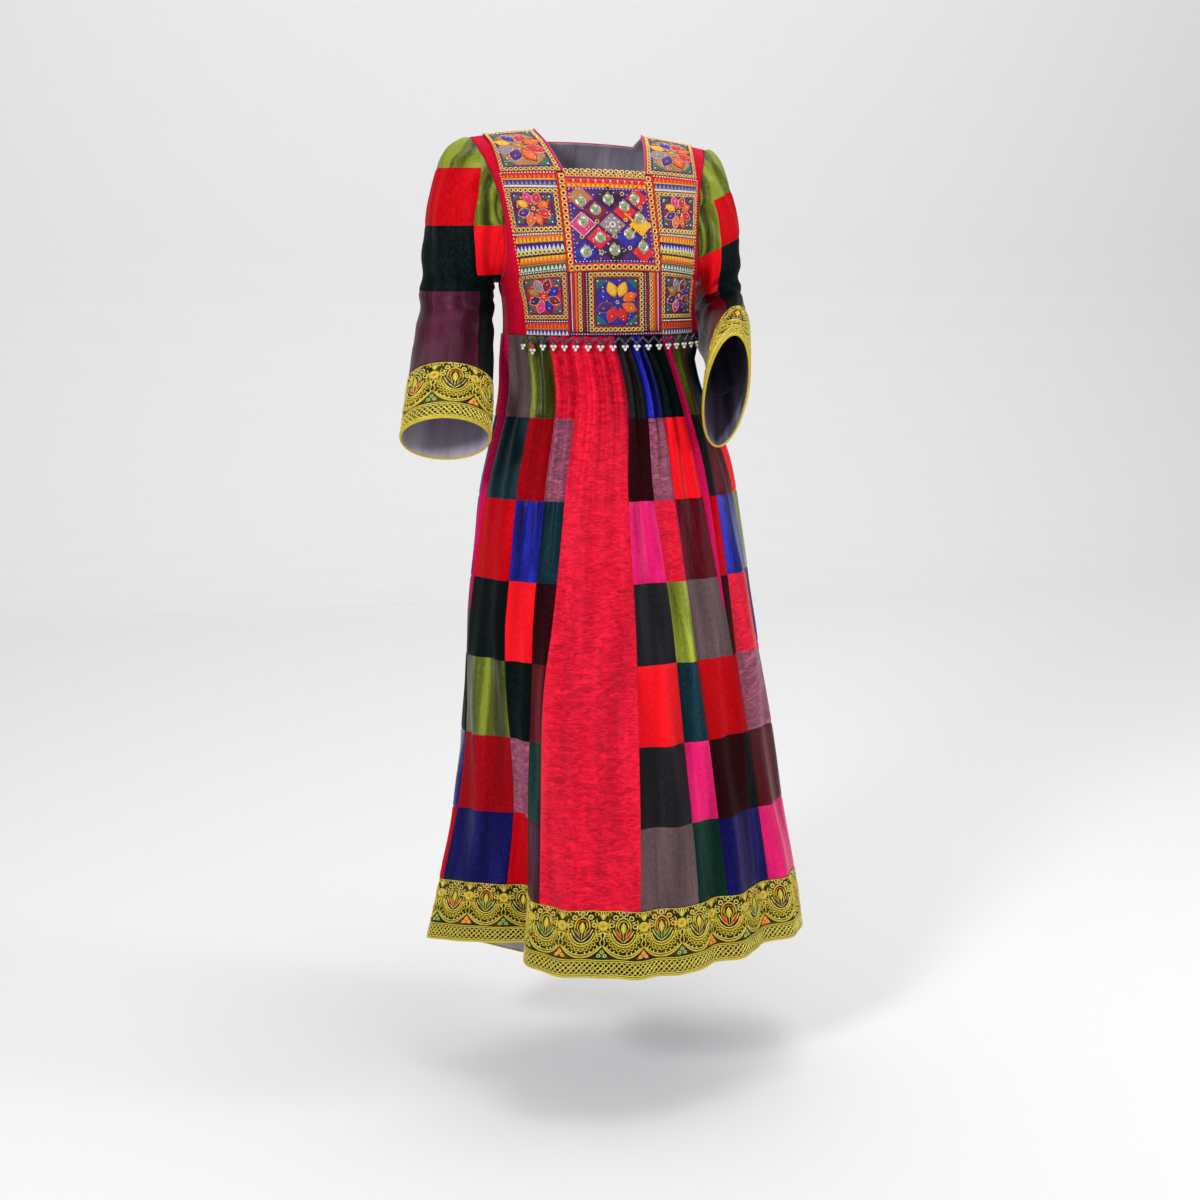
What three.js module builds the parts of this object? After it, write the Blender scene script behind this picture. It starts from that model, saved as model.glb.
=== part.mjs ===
// Afghan dress in its worn, hollow form: a bodice with a square neck and an embroidered bib, wide sleeves
// with banded cuffs and a gathered skirt of patchwork gores over a hem band.
// Millimetres, +Z up, the wearer's front to -Y. The origin lies midway between the shoulders.
import * as THREE from 'three';

const CLOTH = 2;
const TRIM = 1.5;
const HALF_SEAM = 0.15;
const WAIST_Z = -290;
const LEAN = 17;
const BAND_START = 0.8956;
const DEGREE = Math.PI / 180;

// A smooth curve through the rows of a table, one column at a time.
function along(rows, key, at) {
  const last = rows.length - 1;
  if (at <= rows[0].at) return rows[0][key];
  if (at >= rows[last].at) return rows[last][key];
  let i = 0;
  while (at > rows[i + 1].at) i += 1;
  const slope = (k) => {
    const low = rows[Math.max(k - 1, 0)];
    const high = rows[Math.min(k + 1, last)];
    return (high[key] - low[key]) / (high.at - low.at);
  };
  const span = rows[i + 1].at - rows[i].at;
  const t = (at - rows[i].at) / span;
  const start = (2 * t ** 3 - 3 * t ** 2 + 1) * rows[i][key];
  const end = (3 * t ** 2 - 2 * t ** 3) * rows[i + 1][key];
  const leaving = (t ** 3 - 2 * t ** 2 + t) * span * slope(i);
  const arriving = (t ** 3 - t ** 2) * span * slope(i + 1);
  return start + end + leaving + arriving;
}

const add = (a, b, scale = 1) => [a[0] + b[0] * scale, a[1] + b[1] * scale, a[2] + b[2] * scale];
const mix = (a, b, t) => [a[0] + (b[0] - a[0]) * t, a[1] + (b[1] - a[1]) * t, a[2] + (b[2] - a[2]) * t];

function unit(v) {
  const size = Math.hypot(v[0], v[1], v[2]) || 1;
  return [v[0] / size, v[1] / size, v[2] / size];
}

function cross(a, b) {
  return [a[1] * b[2] - a[2] * b[1], a[2] * b[0] - a[0] * b[2], a[0] * b[1] - a[1] * b[0]];
}

// The outward normal at each point of a grid of rows, from its neighbours.
function gridNormals(grid, closed, side) {
  const rowCount = grid.length;
  const columnCount = grid[0].length;
  return grid.map((row, r) => row.map((point, c) => {
    const before = closed ? row[(c + columnCount - 1) % columnCount] : row[Math.max(c - 1, 0)];
    const after = closed ? row[(c + 1) % columnCount] : row[Math.min(c + 1, columnCount - 1)];
    const below = grid[Math.max(r - 1, 0)][c];
    const above = grid[Math.min(r + 1, rowCount - 1)][c];
    return unit(cross(add(above, below, -1), add(after, before, -1)).map((value) => value * side));
  }));
}

// A closed wall between a grid of points moved out by `from` and the same points moved in to `to`.
function wall(name, colour, grid, normals, options) {
  const { closed = false, from = 0, to = -CLOTH, side = 1, keep = () => true } = options;
  const rowCount = grid.length;
  const columnCount = grid[0].length;
  const cellColumns = closed ? columnCount : columnCount - 1;
  const positions = [];
  for (let r = 0; r < rowCount; r += 1) {
    for (let c = 0; c < columnCount; c += 1) {
      positions.push(...add(grid[r][c], normals[r][c], from), ...add(grid[r][c], normals[r][c], to));
    }
  }
  const faces = [];
  const index = (r, c, inner) => (r * columnCount + (c % columnCount)) * 2 + inner;
  const quad = (a, b, c, d) => {
    if (side > 0) faces.push(a, c, b, a, d, c);
    else faces.push(a, b, c, a, c, d);
  };
  const held = (r, c) => {
    if (r < 0 || r >= rowCount - 1) return false;
    if (closed) return keep(r, (c + cellColumns) % cellColumns);
    return c >= 0 && c < cellColumns && keep(r, c);
  };
  for (let r = 0; r < rowCount - 1; r += 1) {
    for (let c = 0; c < cellColumns; c += 1) {
      if (!held(r, c)) continue;
      const outer = [index(r, c, 0), index(r, c + 1, 0), index(r + 1, c + 1, 0), index(r + 1, c, 0)];
      const inner = [index(r, c, 1), index(r, c + 1, 1), index(r + 1, c + 1, 1), index(r + 1, c, 1)];
      quad(outer[0], outer[1], outer[2], outer[3]);
      quad(inner[0], inner[3], inner[2], inner[1]);
      if (!held(r - 1, c)) quad(outer[1], outer[0], inner[0], inner[1]);
      if (!held(r + 1, c)) quad(outer[3], outer[2], inner[2], inner[3]);
      if (!held(r, c - 1)) quad(outer[0], outer[3], inner[3], inner[0]);
      if (!held(r, c + 1)) quad(outer[2], outer[1], inner[1], inner[2]);
    }
  }
  const geometry = new THREE.BufferGeometry();
  geometry.setAttribute('position', new THREE.Float32BufferAttribute(positions, 3));
  geometry.setIndex(faces);
  geometry.computeVertexNormals();
  const material = new THREE.MeshStandardMaterial({ color: colour, roughness: 0.7, metalness: 0 });
  const mesh = new THREE.Mesh(geometry, material);
  mesh.name = name;
  return mesh;
}

// Skirt section down its length: centre, half width, depth to the front and depth to the back.
const SKIRT = [
  { at: 0, x: 17, y: -4, half: 149, front: 110, back: 104 },
  { at: 0.1, x: 33, y: -7, half: 167, front: 128, back: 124 },
  { at: 0.25, x: 29, y: -8, half: 197, front: 156, back: 150 },
  { at: 0.5, x: 37, y: -8, half: 230, front: 193, back: 182 },
  { at: 0.75, x: 45, y: -9, half: 264, front: 226, back: 200 },
  { at: 0.9, x: 47, y: -9, half: 295, front: 247, back: 212 },
  { at: 1, x: 43, y: -9, half: 315, front: 262, back: 220 },
];

// Folds of the skirt: angle from the front, half widths to each side, depth, and where they begin and fill.
const FOLDS = [
  { angle: -60, left: 24, right: 13, depth: 116, begin: 0.45, full: 1.05 },
  { angle: 22, left: 9, right: 12, depth: 17, begin: 0.3, full: 1 },
  { angle: 47, left: 12, right: 10, depth: 26, begin: 0.25, full: 1 },
  { angle: 82, left: 14, right: 12, depth: 30, begin: 0.2, full: 1 },
  { angle: 117, left: 13, right: 15, depth: 34, begin: 0.2, full: 1 },
  { angle: 151, left: 13, right: 12, depth: 28, begin: 0.2, full: 1 },
  { angle: 186, left: 14, right: 14, depth: 36, begin: 0.15, full: 1 },
  { angle: 221, left: 14, right: 13, depth: 64, begin: 0.4, full: 1 },
  { angle: 247, left: 14, right: 13, depth: 34, begin: 0.2, full: 1 },
];

// The first edge of each gore at five heights, in degrees from the front, and how many gathers it has.
const GORES = [
  { name: 'gore_z', colour: 0x0f0a55, top: -113, high: -112, mid: -111.5, low: -111, hem: -110, gathers: 2 },
  { name: 'gore_a', colour: 0xe12378, top: -90, high: -88, mid: -87.6, low: -89.2, hem: -92, gathers: 1, short: true },
  { name: 'gore_b', colour: 0xc8000a, top: -82, high: -83.5, mid: -86.4, low: -89.2, hem: -92, gathers: 2 },
  { name: 'gore_c', colour: 0x6e7328, top: -66, high: -61, mid: -61, low: -63, hem: -69, gathers: 2 },
  { name: 'gore_d', colour: 0x965569, top: -50, high: -46, mid: -48, low: -51, hem: -55, gathers: 2 },
  { name: 'gore_e', colour: 0xe11e41, top: -36, high: -36, mid: -39, low: -44, hem: -40, gathers: 4 },
  { name: 'gore_f', colour: 0x232126, top: -2, high: -2.5, mid: -3, low: -4.5, hem: -7.5, gathers: 2 },
  { name: 'gore_g', colour: 0x2832a0, top: 10, high: 12, mid: 15, low: 16, hem: 15, gathers: 2 },
  { name: 'gore_h', colour: 0x5a000f, top: 20, high: 24, mid: 25, low: 27, hem: 29, gathers: 2 },
  { name: 'gore_i', colour: 0xe12378, top: 36, high: 41.5, mid: 44.6, low: 47.2, hem: 45, gathers: 1, short: true },
  { name: 'gore_j', colour: 0x230a0c, top: 46, high: 47, mid: 45.8, low: 47.2, hem: 45, gathers: 1 },
  { name: 'gore_k', colour: 0xe1141e, top: 56, high: 53, mid: 52, low: 51, hem: 51, gathers: 2 },
  { name: 'gore_l', colour: 0x0a323c, top: 72, high: 72, mid: 72, low: 72, hem: 72, gathers: 2 },
  { name: 'gore_m', colour: 0x5a000f, top: 91, high: 91, mid: 91, low: 91, hem: 91, gathers: 2 },
  { name: 'gore_n', colour: 0x6e5a5a, top: 110, high: 110, mid: 110, low: 110, hem: 110, gathers: 2 },
  { name: 'gore_o', colour: 0x2832a0, top: 129, high: 129, mid: 129, low: 129, hem: 129, gathers: 2 },
  { name: 'gore_p', colour: 0xc8000a, top: 148, high: 148, mid: 148, low: 148, hem: 148, gathers: 2 },
  { name: 'gore_q', colour: 0x051414, top: 167, high: 167, mid: 167, low: 167, hem: 167, gathers: 2 },
  { name: 'gore_r', colour: 0x6e7328, top: 186, high: 186, mid: 186, low: 186, hem: 186, gathers: 2 },
  { name: 'gore_s', colour: 0x0f0a55, top: 206, high: 206, mid: 206, low: 206, hem: 206, gathers: 2 },
  { name: 'gore_t', colour: 0x965569, top: 226, high: 226, mid: 226, low: 226.5, hem: 227, gathers: 2 },
];
const SHORT_END = 0.44;

function goreEdge(number, t) {
  const turns = Math.floor(number / GORES.length);
  const gore = GORES[number % GORES.length];
  const rows = [
    { at: 0, angle: gore.top },
    { at: 0.25, angle: gore.high },
    { at: SHORT_END, angle: gore.mid },
    { at: 0.66, angle: gore.low },
    { at: 1, angle: gore.hem },
  ];
  return along(rows, 'angle', t) + turns * 360;
}

// How deep a gather stands at an angle: seams lie in the hollows between gathers.
function gatherWave(angle, t) {
  let turned = angle;
  while (turned < goreEdge(0, t)) turned += 360;
  while (turned >= goreEdge(GORES.length, t)) turned -= 360;
  let number = 0;
  while (turned >= goreEdge(number + 1, t)) number += 1;
  const left = goreEdge(number, t);
  const share = (turned - left) / (goreEdge(number + 1, t) - left);
  return -Math.cos(share * GORES[number].gathers * 2 * Math.PI);
}

function skirtPoint(angle, t) {
  const turn = angle * DEGREE;
  const sine = Math.sin(turn);
  const cosine = Math.cos(turn);
  const half = along(SKIRT, 'half', t);
  const depth = along(SKIRT, cosine > 0 ? 'front' : 'back', t);
  let radius = 1 / Math.hypot(sine / half, cosine / depth);
  for (const fold of FOLDS) {
    let away = ((angle - fold.angle + 540) % 360 + 360) % 360 - 180;
    away /= away < 0 ? fold.left : fold.right;
    const grown = Math.min(Math.max((t - fold.begin) / (fold.full - fold.begin), 0), 1);
    radius -= fold.depth * grown ** 1.2 * Math.exp(-away * away);
  }
  // The side is pressed in a little under the forearm.
  const press = Math.exp(-(((angle - 74) / 30) ** 2)) * Math.exp(-(((t - 0.08) / 0.09) ** 2));
  radius -= 36 * press * Math.min(t / 0.04, 1);
  const rise = Math.min(t / 0.05, 1);
  const fade = Math.max(1 - t / 0.33, 0);
  if (fade > 0) radius += gatherWave(angle, t) * (1 + 3.6 * rise) * fade ** 1.3;
  const back = ((1 - cosine) / 2) ** 2;
  // The hem trails at the back on the right side and lifts a little where it flares at both sides.
  const trail = 45 * t ** 4 * Math.exp(-(((((angle + 143) % 360 + 540) % 360 - 180) / 36) ** 2));
  const lift = 15 * sine * sine * Math.min(Math.max((t - 0.75) / 0.25, 0), 1);
  const z = WAIST_Z - HALF_SEAM - t * (924 + 76 * back) - trail + lift;
  return [along(SKIRT, 'x', t) + radius * sine, along(SKIRT, 'y', t) - radius * cosine, z];
}

function skirtNormal(angle, t) {
  const around = add(skirtPoint(angle + 0.4, t), skirtPoint(angle - 0.4, t), -1);
  const down = add(skirtPoint(angle, Math.min(t + 0.01, 1)), skirtPoint(angle, Math.max(t - 0.01, 0)), -1);
  const normal = cross(around, down).map((value) => -value);
  if (t === 0) normal[2] = 0;
  return unit(normal);
}

// Bodice: the edge runs up the side seam, then round the armhole, beside the line of the centre.
const SHIFT = (z) => (-z / 290) * LEAN;
const FRONT = [
  { at: -3, edge: 149, edgeY: -4, edgeZ: -290, middleY: -114, middleZ: -290, bib: 0.84 },
  { at: -2, edge: 147, edgeY: -3, edgeZ: -265, middleY: -117, middleZ: -262, bib: 0.85 },
  { at: -1, edge: 147, edgeY: -1, edgeZ: -240, middleY: -123, middleZ: -234, bib: 0.86 },
  { at: 0, edge: 150, edgeY: 0, edgeZ: -215, middleY: -127, middleZ: -205, bib: 0.87 },
  { at: 0.15, edge: 147, edgeY: -36, edgeZ: -200, middleY: -129, middleZ: -186, bib: 0.88 },
  { at: 0.35, edge: 144, edgeY: -56, edgeZ: -160, middleY: -124, middleZ: -152, bib: 0.93 },
  { at: 0.55, edge: 147, edgeY: -57, edgeZ: -110, middleY: -111, middleZ: -112, bib: 0.95 },
  { at: 0.75, edge: 158, edgeY: -44, edgeZ: -62, middleY: -90, middleZ: -58, bib: 0.93 },
  { at: 0.9, edge: 171, edgeY: -19, edgeZ: -27, middleY: -44, middleZ: -18, bib: 0.89 },
  { at: 1, edge: 178, edgeY: 5, edgeZ: -12, middleY: 5, middleZ: 5, bib: 0.89 },
];
const BACK = [
  { at: -3, edge: 149, edgeY: -4, edgeZ: -290, middleY: 100, middleZ: -290 },
  { at: -2, edge: 147, edgeY: -3, edgeZ: -265, middleY: 98, middleZ: -265 },
  { at: -1, edge: 147, edgeY: -1, edgeZ: -240, middleY: 99, middleZ: -240 },
  { at: 0, edge: 150, edgeY: 0, edgeZ: -215, middleY: 102, middleZ: -212 },
  { at: 0.15, edge: 149, edgeY: 40, edgeZ: -198, middleY: 106, middleZ: -190 },
  { at: 0.35, edge: 150, edgeY: 61, edgeZ: -155, middleY: 108, middleZ: -150 },
  { at: 0.55, edge: 154, edgeY: 62, edgeZ: -105, middleY: 104, middleZ: -104 },
  { at: 0.75, edge: 163, edgeY: 48, edgeZ: -58, middleY: 88, middleZ: -56 },
  { at: 0.9, edge: 173, edgeY: 25, edgeZ: -26, middleY: 45, middleZ: -14 },
  { at: 1, edge: 178, edgeY: 5, edgeZ: -12, middleY: 5, middleZ: 5 },
];
const STEPS = [0, 0.08, 0.18, 0.3, 0.42, 0.54, 0.65, 0.75, 0.84, 0.92, 1];
const NECK_STEP = 0.75;
const BACK_NECK_STEP = 0.92;

// The left shoulder of the wearer sits lower than the right one.
function tilt(x, z) {
  return z - (x / 178) * 8 * Math.max(0, 1 + z / 215);
}

function edgePoint(table, side, step) {
  const z = along(table, 'edgeZ', step);
  const x = side * along(table, 'edge', step);
  return [x + SHIFT(z), along(table, 'edgeY', step), tilt(x, z)];
}

function bodicePoint(table, across, step) {
  const edge = along(table, 'edge', step);
  const edgeY = along(table, 'edgeY', step);
  const edgeZ = along(table, 'edgeZ', step);
  const middleY = along(table, 'middleY', step);
  const middleZ = along(table, 'middleZ', step);
  const bend = step <= 0 ? 0.5 : 0.5 + 0.3 * Math.min(step / 0.3, 1);
  const seam = table === FRONT ? -HALF_SEAM : HALF_SEAM;
  const y = edgeY + (middleY - edgeY) * Math.max(1 - across * across, 0) ** bend + seam;
  const z = middleZ + (edgeZ - middleZ) * across * across;
  const x = across * edge;
  return [x + SHIFT(z), y, tilt(x, z) + HALF_SEAM];
}

// Neck edge as a share of the way from the centre to the side.
function neckShare(step) {
  const half = 60 + 22 * Math.max(0, (step - NECK_STEP) / (1 - NECK_STEP));
  return half / along(FRONT, 'edge', step);
}

function bodiceColumns(table, step) {
  const neck = neckShare(step);
  const bib = table === FRONT ? along(FRONT, 'bib', step) : 0.86;
  const middle = (bib + neck) / 2;
  const half = [neck / 2, neck, (neck + middle) / 2, middle, (middle + bib) / 2, bib, (1 + bib) / 2, 1];
  return [...half.map((value) => -value).reverse(), 0, ...half];
}
const NECK_LEFT = 6;
const NECK_RIGHT = 10;
const BIB_LEFT = 2;
const BIB_RIGHT = 14;

function bodicePanel(table) {
  const steps = [-3, -2, -1, ...STEPS];
  const grid = steps.map((step) => bodiceColumns(table, step).map((share) => bodicePoint(table, share, step)));
  const side = table === FRONT ? -1 : 1;
  const normals = gridNormals(grid, false, side);
  const last = steps.length - 1;
  normals.forEach((row, r) => row.forEach((normal, c) => {
    if (r === last) normal[1] = 0;
    if (r === 0) normal[2] = 0;
    if ((c === 0 || c === row.length - 1) && r <= 3) normal[1] = 0;
    const fixed = unit(normal);
    row[c] = fixed;
  }));
  return { grid, normals, steps, side };
}

// Sleeves: outer and inner points of each ring and the reach from its centre to its front.
const SLEEVE_LEFT = [
  { ox: -203, oy: 5, oz: -16, ix: -141, iy: 1, iz: -216, wy: -62, wz: 0 },
  { ox: -227, oy: 5, oz: -42, ix: -142, iy: 2, iz: -218, wy: -62, wz: 0 },
  { ox: -238, oy: 5, oz: -92, ix: -143, iy: 3, iz: -222, wy: -61, wz: 5 },
  { ox: -246, oy: 5, oz: -156, ix: -144, iy: 4, iz: -230, wy: -60, wz: 8 },
  { ox: -250, oy: 3, oz: -214, ix: -144, iy: 3, iz: -250, wy: -58, wz: 10 },
  { ox: -257, oy: -10, oz: -262, ix: -148, iy: -10, iz: -286, wy: -55, wz: 16 },
  { ox: -272, oy: -42, oz: -310, ix: -154, iy: -40, iz: -328, wy: -49, wz: 26 },
  { ox: -286, oy: -84, oz: -350, ix: -162, iy: -82, iz: -364, wy: -45, wz: 33 },
];
const CUFF_LEFT = [
  { ox: -297, oy: -120, oz: -387, ix: -169, iy: -117, iz: -399, wy: -43, wz: 34 },
  { ox: -308, oy: -156, oz: -424, ix: -178, iy: -152, iz: -434, wy: -42, wz: 34 },
];
const SLEEVE_RIGHT = [
  { ox: 196, oy: 5, oz: -28, ix: 166, iy: 1, iz: -216, wy: -62, wz: 0 },
  { ox: 212, oy: 6, oz: -58, ix: 168, iy: 3, iz: -219, wy: -62, wz: 0 },
  { ox: 226, oy: 10, oz: -102, ix: 169, iy: 8, iz: -224, wy: -63, wz: 3 },
  { ox: 235, oy: 18, oz: -160, ix: 170, iy: 16, iz: -234, wy: -66, wz: 8 },
  { ox: 240, oy: 30, oz: -218, ix: 172, iy: 26, iz: -252, wy: -69, wz: 22 },
  { ox: 241, oy: 20, oz: -266, ix: 176, iy: 14, iz: -278, wy: -66, wz: 44 },
  { ox: 236, oy: -22, oz: -292, ix: 178, iy: -28, iz: -294, wy: -56, wz: 58 },
  { ox: 222, oy: -92, oz: -318, ix: 160, iy: -98, iz: -316, wy: -45, wz: 70 },
];
const CUFF_RIGHT = [
  { ox: 208, oy: -140, oz: -344, ix: 142, iy: -146, iz: -342, wy: -42, wz: 78 },
  { ox: 194, oy: -188, oz: -368, ix: 126, iy: -194, iz: -366, wy: -40, wz: 84 },
];

function ringPoint(row, turn) {
  const centre = [(row.ox + row.ix) / 2, (row.oy + row.iy) / 2, (row.oz + row.iz) / 2];
  const out = [(row.ox - row.ix) / 2, (row.oy - row.iy) / 2, (row.oz - row.iz) / 2];
  const reach = add(centre, out, -Math.cos(turn));
  return add(reach, [0, row.wy, row.wz], Math.sin(turn));
}

function armholeLoop(side) {
  const front = STEPS.map((step) => edgePoint(FRONT, side, step));
  const back = STEPS.slice(1, -1).reverse().map((step) => edgePoint(BACK, side, step));
  return [...front, ...back];
}

function sleeve(prefix, side, rings, cuffRings) {
  const loop = armholeLoop(side);
  const count = loop.length;
  const turns = loop.map((point, i) => (i / count) * Math.PI * 2);
  const first = loop.map((point) => add(point, [side * 0.4, 0, 0]));
  const grid = [first];
  rings.forEach((row, k) => {
    const own = Math.min((k + 1) / 3, 1);
    const next = turns.map((turn, i) => {
      const target = ringPoint(row, turn);
      const carried = add(loop[i], [row.ox - 178 * side, 0, 0]);
      const pleat = k > 0 && k < 4 ? 2.4 * Math.sin(turn * 10) * Math.max(0, -Math.cos(turn)) : 0;
      const mixed = mix(mix(loop[i], carried, 0.5), target, own);
      return add(mixed, [side, 0, 0.5], pleat);
    });
    grid.push(next);
  });
  const orient = side;
  const normals = gridNormals(grid, true, orient);
  normals[0] = first.map((point, i) => unit([0, normals[1][i][1], normals[1][i][2]]));
  const colour = side < 0 ? 0x051414 : 0xc8000a;
  const body = wall(`${prefix}_sleeve`, colour, grid, normals, { closed: true, side: orient });
  const seam = grid[grid.length - 1];
  const path = unit([cuffRings[0].ox - rings[7].ox, cuffRings[0].oy - rings[7].oy, cuffRings[0].oz - rings[7].oz]);
  const cuffGrid = [seam.map((point) => add(point, path, 0.3))];
  cuffRings.forEach((row) => cuffGrid.push(turns.map((turn) => ringPoint(row, turn))));
  const cuffNormals = gridNormals(cuffGrid, true, orient);
  cuffNormals[0] = normals[normals.length - 1];
  const cuff = wall(`${prefix}_cuff`, 0xc8b946, cuffGrid, cuffNormals, { closed: true, side: orient });
  return [body, cuff];
}

const SKIRT_STEPS = [0, 0.025, 0.06, 0.11, 0.17, 0.24, 0.32, 0.44, 0.56, 0.67, 0.78, BAND_START];

function skirtGore(number) {
  const gore = GORES[number];
  const cells = gore.gathers * 4;
  const steps = SKIRT_STEPS.filter((t) => !gore.short || t <= SHORT_END);
  const angles = (t) => {
    const left = goreEdge(number, t);
    const next = GORES[(number + 1) % GORES.length].short && t > SHORT_END ? 2 : 1;
    const right = goreEdge(number + next, t);
    const list = [];
    for (let c = 0; c <= cells; c += 1) list.push(left + ((right - left) * c) / cells);
    return list;
  };
  const grid = [];
  const normals = [];
  for (const t of steps) {
    const list = angles(t);
    const row = list.map((angle) => skirtPoint(angle, t));
    const rowNormals = list.map((angle) => skirtNormal(angle, t));
    const span = list.length - 1;
    const start = unit(add(row[1], row[0], -1));
    const finish = unit(add(row[span - 1], row[span], -1));
    row[0] = add(row[0], start, HALF_SEAM);
    row[span] = add(row[span], finish, HALF_SEAM);
    grid.push(row);
    normals.push(rowNormals);
  }
  return wall(gore.name, gore.colour, grid, normals, {});
}

function hemBand() {
  const steps = [BAND_START, 0.945, 1];
  const count = 156;
  const grid = steps.map((t, k) => {
    const row = [];
    for (let c = 0; c < count; c += 1) {
      const point = skirtPoint(-113 + (c * 360) / count, t);
      row.push(k === 0 ? add(point, [0, 0, -1], 2 * HALF_SEAM) : point);
    }
    return row;
  });
  const normals = steps.map((t) => grid[0].map((point, c) => skirtNormal(-113 + (c * 360) / count, t)));
  return wall('hem_band', 0xc8b946, grid, normals, { closed: true });
}

function bibPanel(name, front, firstColumn, lastColumn, firstShift, lastShift) {
  const rowCount = name === 'bib_centre' ? 11 : front.grid.length;
  const grid = [];
  const normals = [];
  for (let r = 0; r < rowCount; r += 1) {
    const row = front.grid[r].slice(firstColumn, lastColumn + 1).map((point) => [...point]);
    row[0] = add(row[0], [1, 0, 0], firstShift);
    row[row.length - 1] = add(row[row.length - 1], [-1, 0, 0], lastShift);
    grid.push(row);
    normals.push(front.normals[r].slice(firstColumn, lastColumn + 1));
  }
  return wall(name, 0x8a5a3c, grid, normals, { from: 0.3 + TRIM, to: 0.3, side: front.side });
}

const dress = new THREE.Group();
dress.name = 'afghan_dress';

const front = bodicePanel(FRONT);
const back = bodicePanel(BACK);
const neckRow = front.steps.indexOf(NECK_STEP);
const backNeckRow = back.steps.indexOf(BACK_NECK_STEP);
const inNeck = (c) => c >= NECK_LEFT && c < NECK_RIGHT;
const frontKeep = (r, c) => !(inNeck(c) && r >= neckRow);
const backKeep = (r, c) => !(inNeck(c) && r >= backNeckRow);
dress.add(wall('bodice_front', 0xe11e41, front.grid, front.normals, { side: front.side, keep: frontKeep }));
dress.add(wall('bodice_back', 0xe11e41, back.grid, back.normals, { side: back.side, keep: backKeep }));
dress.add(bibPanel('bib_centre', front, NECK_LEFT, NECK_RIGHT, HALF_SEAM, HALF_SEAM));
dress.add(bibPanel('bib_right', front, BIB_LEFT, NECK_LEFT, 0, HALF_SEAM));
dress.add(bibPanel('bib_left', front, NECK_RIGHT, BIB_RIGHT, HALF_SEAM, 0));
sleeve('right', -1, SLEEVE_LEFT, CUFF_LEFT).forEach((mesh) => dress.add(mesh));
sleeve('left', 1, SLEEVE_RIGHT, CUFF_RIGHT).forEach((mesh) => dress.add(mesh));
GORES.forEach((gore, number) => dress.add(skirtGore(number)));
dress.add(hemBand());

export default dress;
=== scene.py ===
# Afghan dress: velvet patchwork skirt, crimson bodice with an embroidered bib, wide sleeves and gold bands.
# Sizes are in millimetres in the tables and turned into metres where a mesh is made.
import math
import random

import bpy
import numpy as np
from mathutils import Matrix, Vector


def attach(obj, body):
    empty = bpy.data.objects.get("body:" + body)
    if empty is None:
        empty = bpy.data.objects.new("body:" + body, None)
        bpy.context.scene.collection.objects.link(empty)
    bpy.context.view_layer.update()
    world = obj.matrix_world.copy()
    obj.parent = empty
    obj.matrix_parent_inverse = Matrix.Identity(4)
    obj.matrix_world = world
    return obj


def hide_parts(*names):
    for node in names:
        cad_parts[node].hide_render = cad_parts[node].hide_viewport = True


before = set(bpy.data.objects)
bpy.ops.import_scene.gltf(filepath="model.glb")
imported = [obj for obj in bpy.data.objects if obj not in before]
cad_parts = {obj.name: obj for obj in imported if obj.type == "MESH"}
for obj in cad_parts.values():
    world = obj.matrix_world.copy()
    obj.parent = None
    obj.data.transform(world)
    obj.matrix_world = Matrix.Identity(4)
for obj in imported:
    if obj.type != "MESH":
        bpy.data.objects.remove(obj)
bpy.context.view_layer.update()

MM = 0.001
CLOTH = 1.6
WAIST_Z = -290.0
# How far the waist lies to the wearer's left of the shoulders' middle.
LEAN = 17.0
# Share of the skirt's length where the hem band begins, and the patch rows above it.
BAND_START = 0.8956
PATCH_ROWS = 7
# How far the hem falls below the waist in front, and how much lower it hangs behind.
FRONT_FALL, BACK_FALL = 924, 76
# Half of the gap between neighbours, and how far the bib's cloth stands off the bodice.
HALF_GAP = 0.15
BIB_OFFSET = 1.7

# Materials


def linear(colour):
    return [c / 12.92 if c <= 0.04045 else ((c + 0.055) / 1.055) ** 2.4 for c in (v / 255 for v in colour)]


def tinted(colour, amount):
    return [min(1.0, c * amount) for c in colour]


def paler(colour, power, share, lift):
    return (*[min(1.0, c ** power * share + lift) for c in colour], 1)


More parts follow.
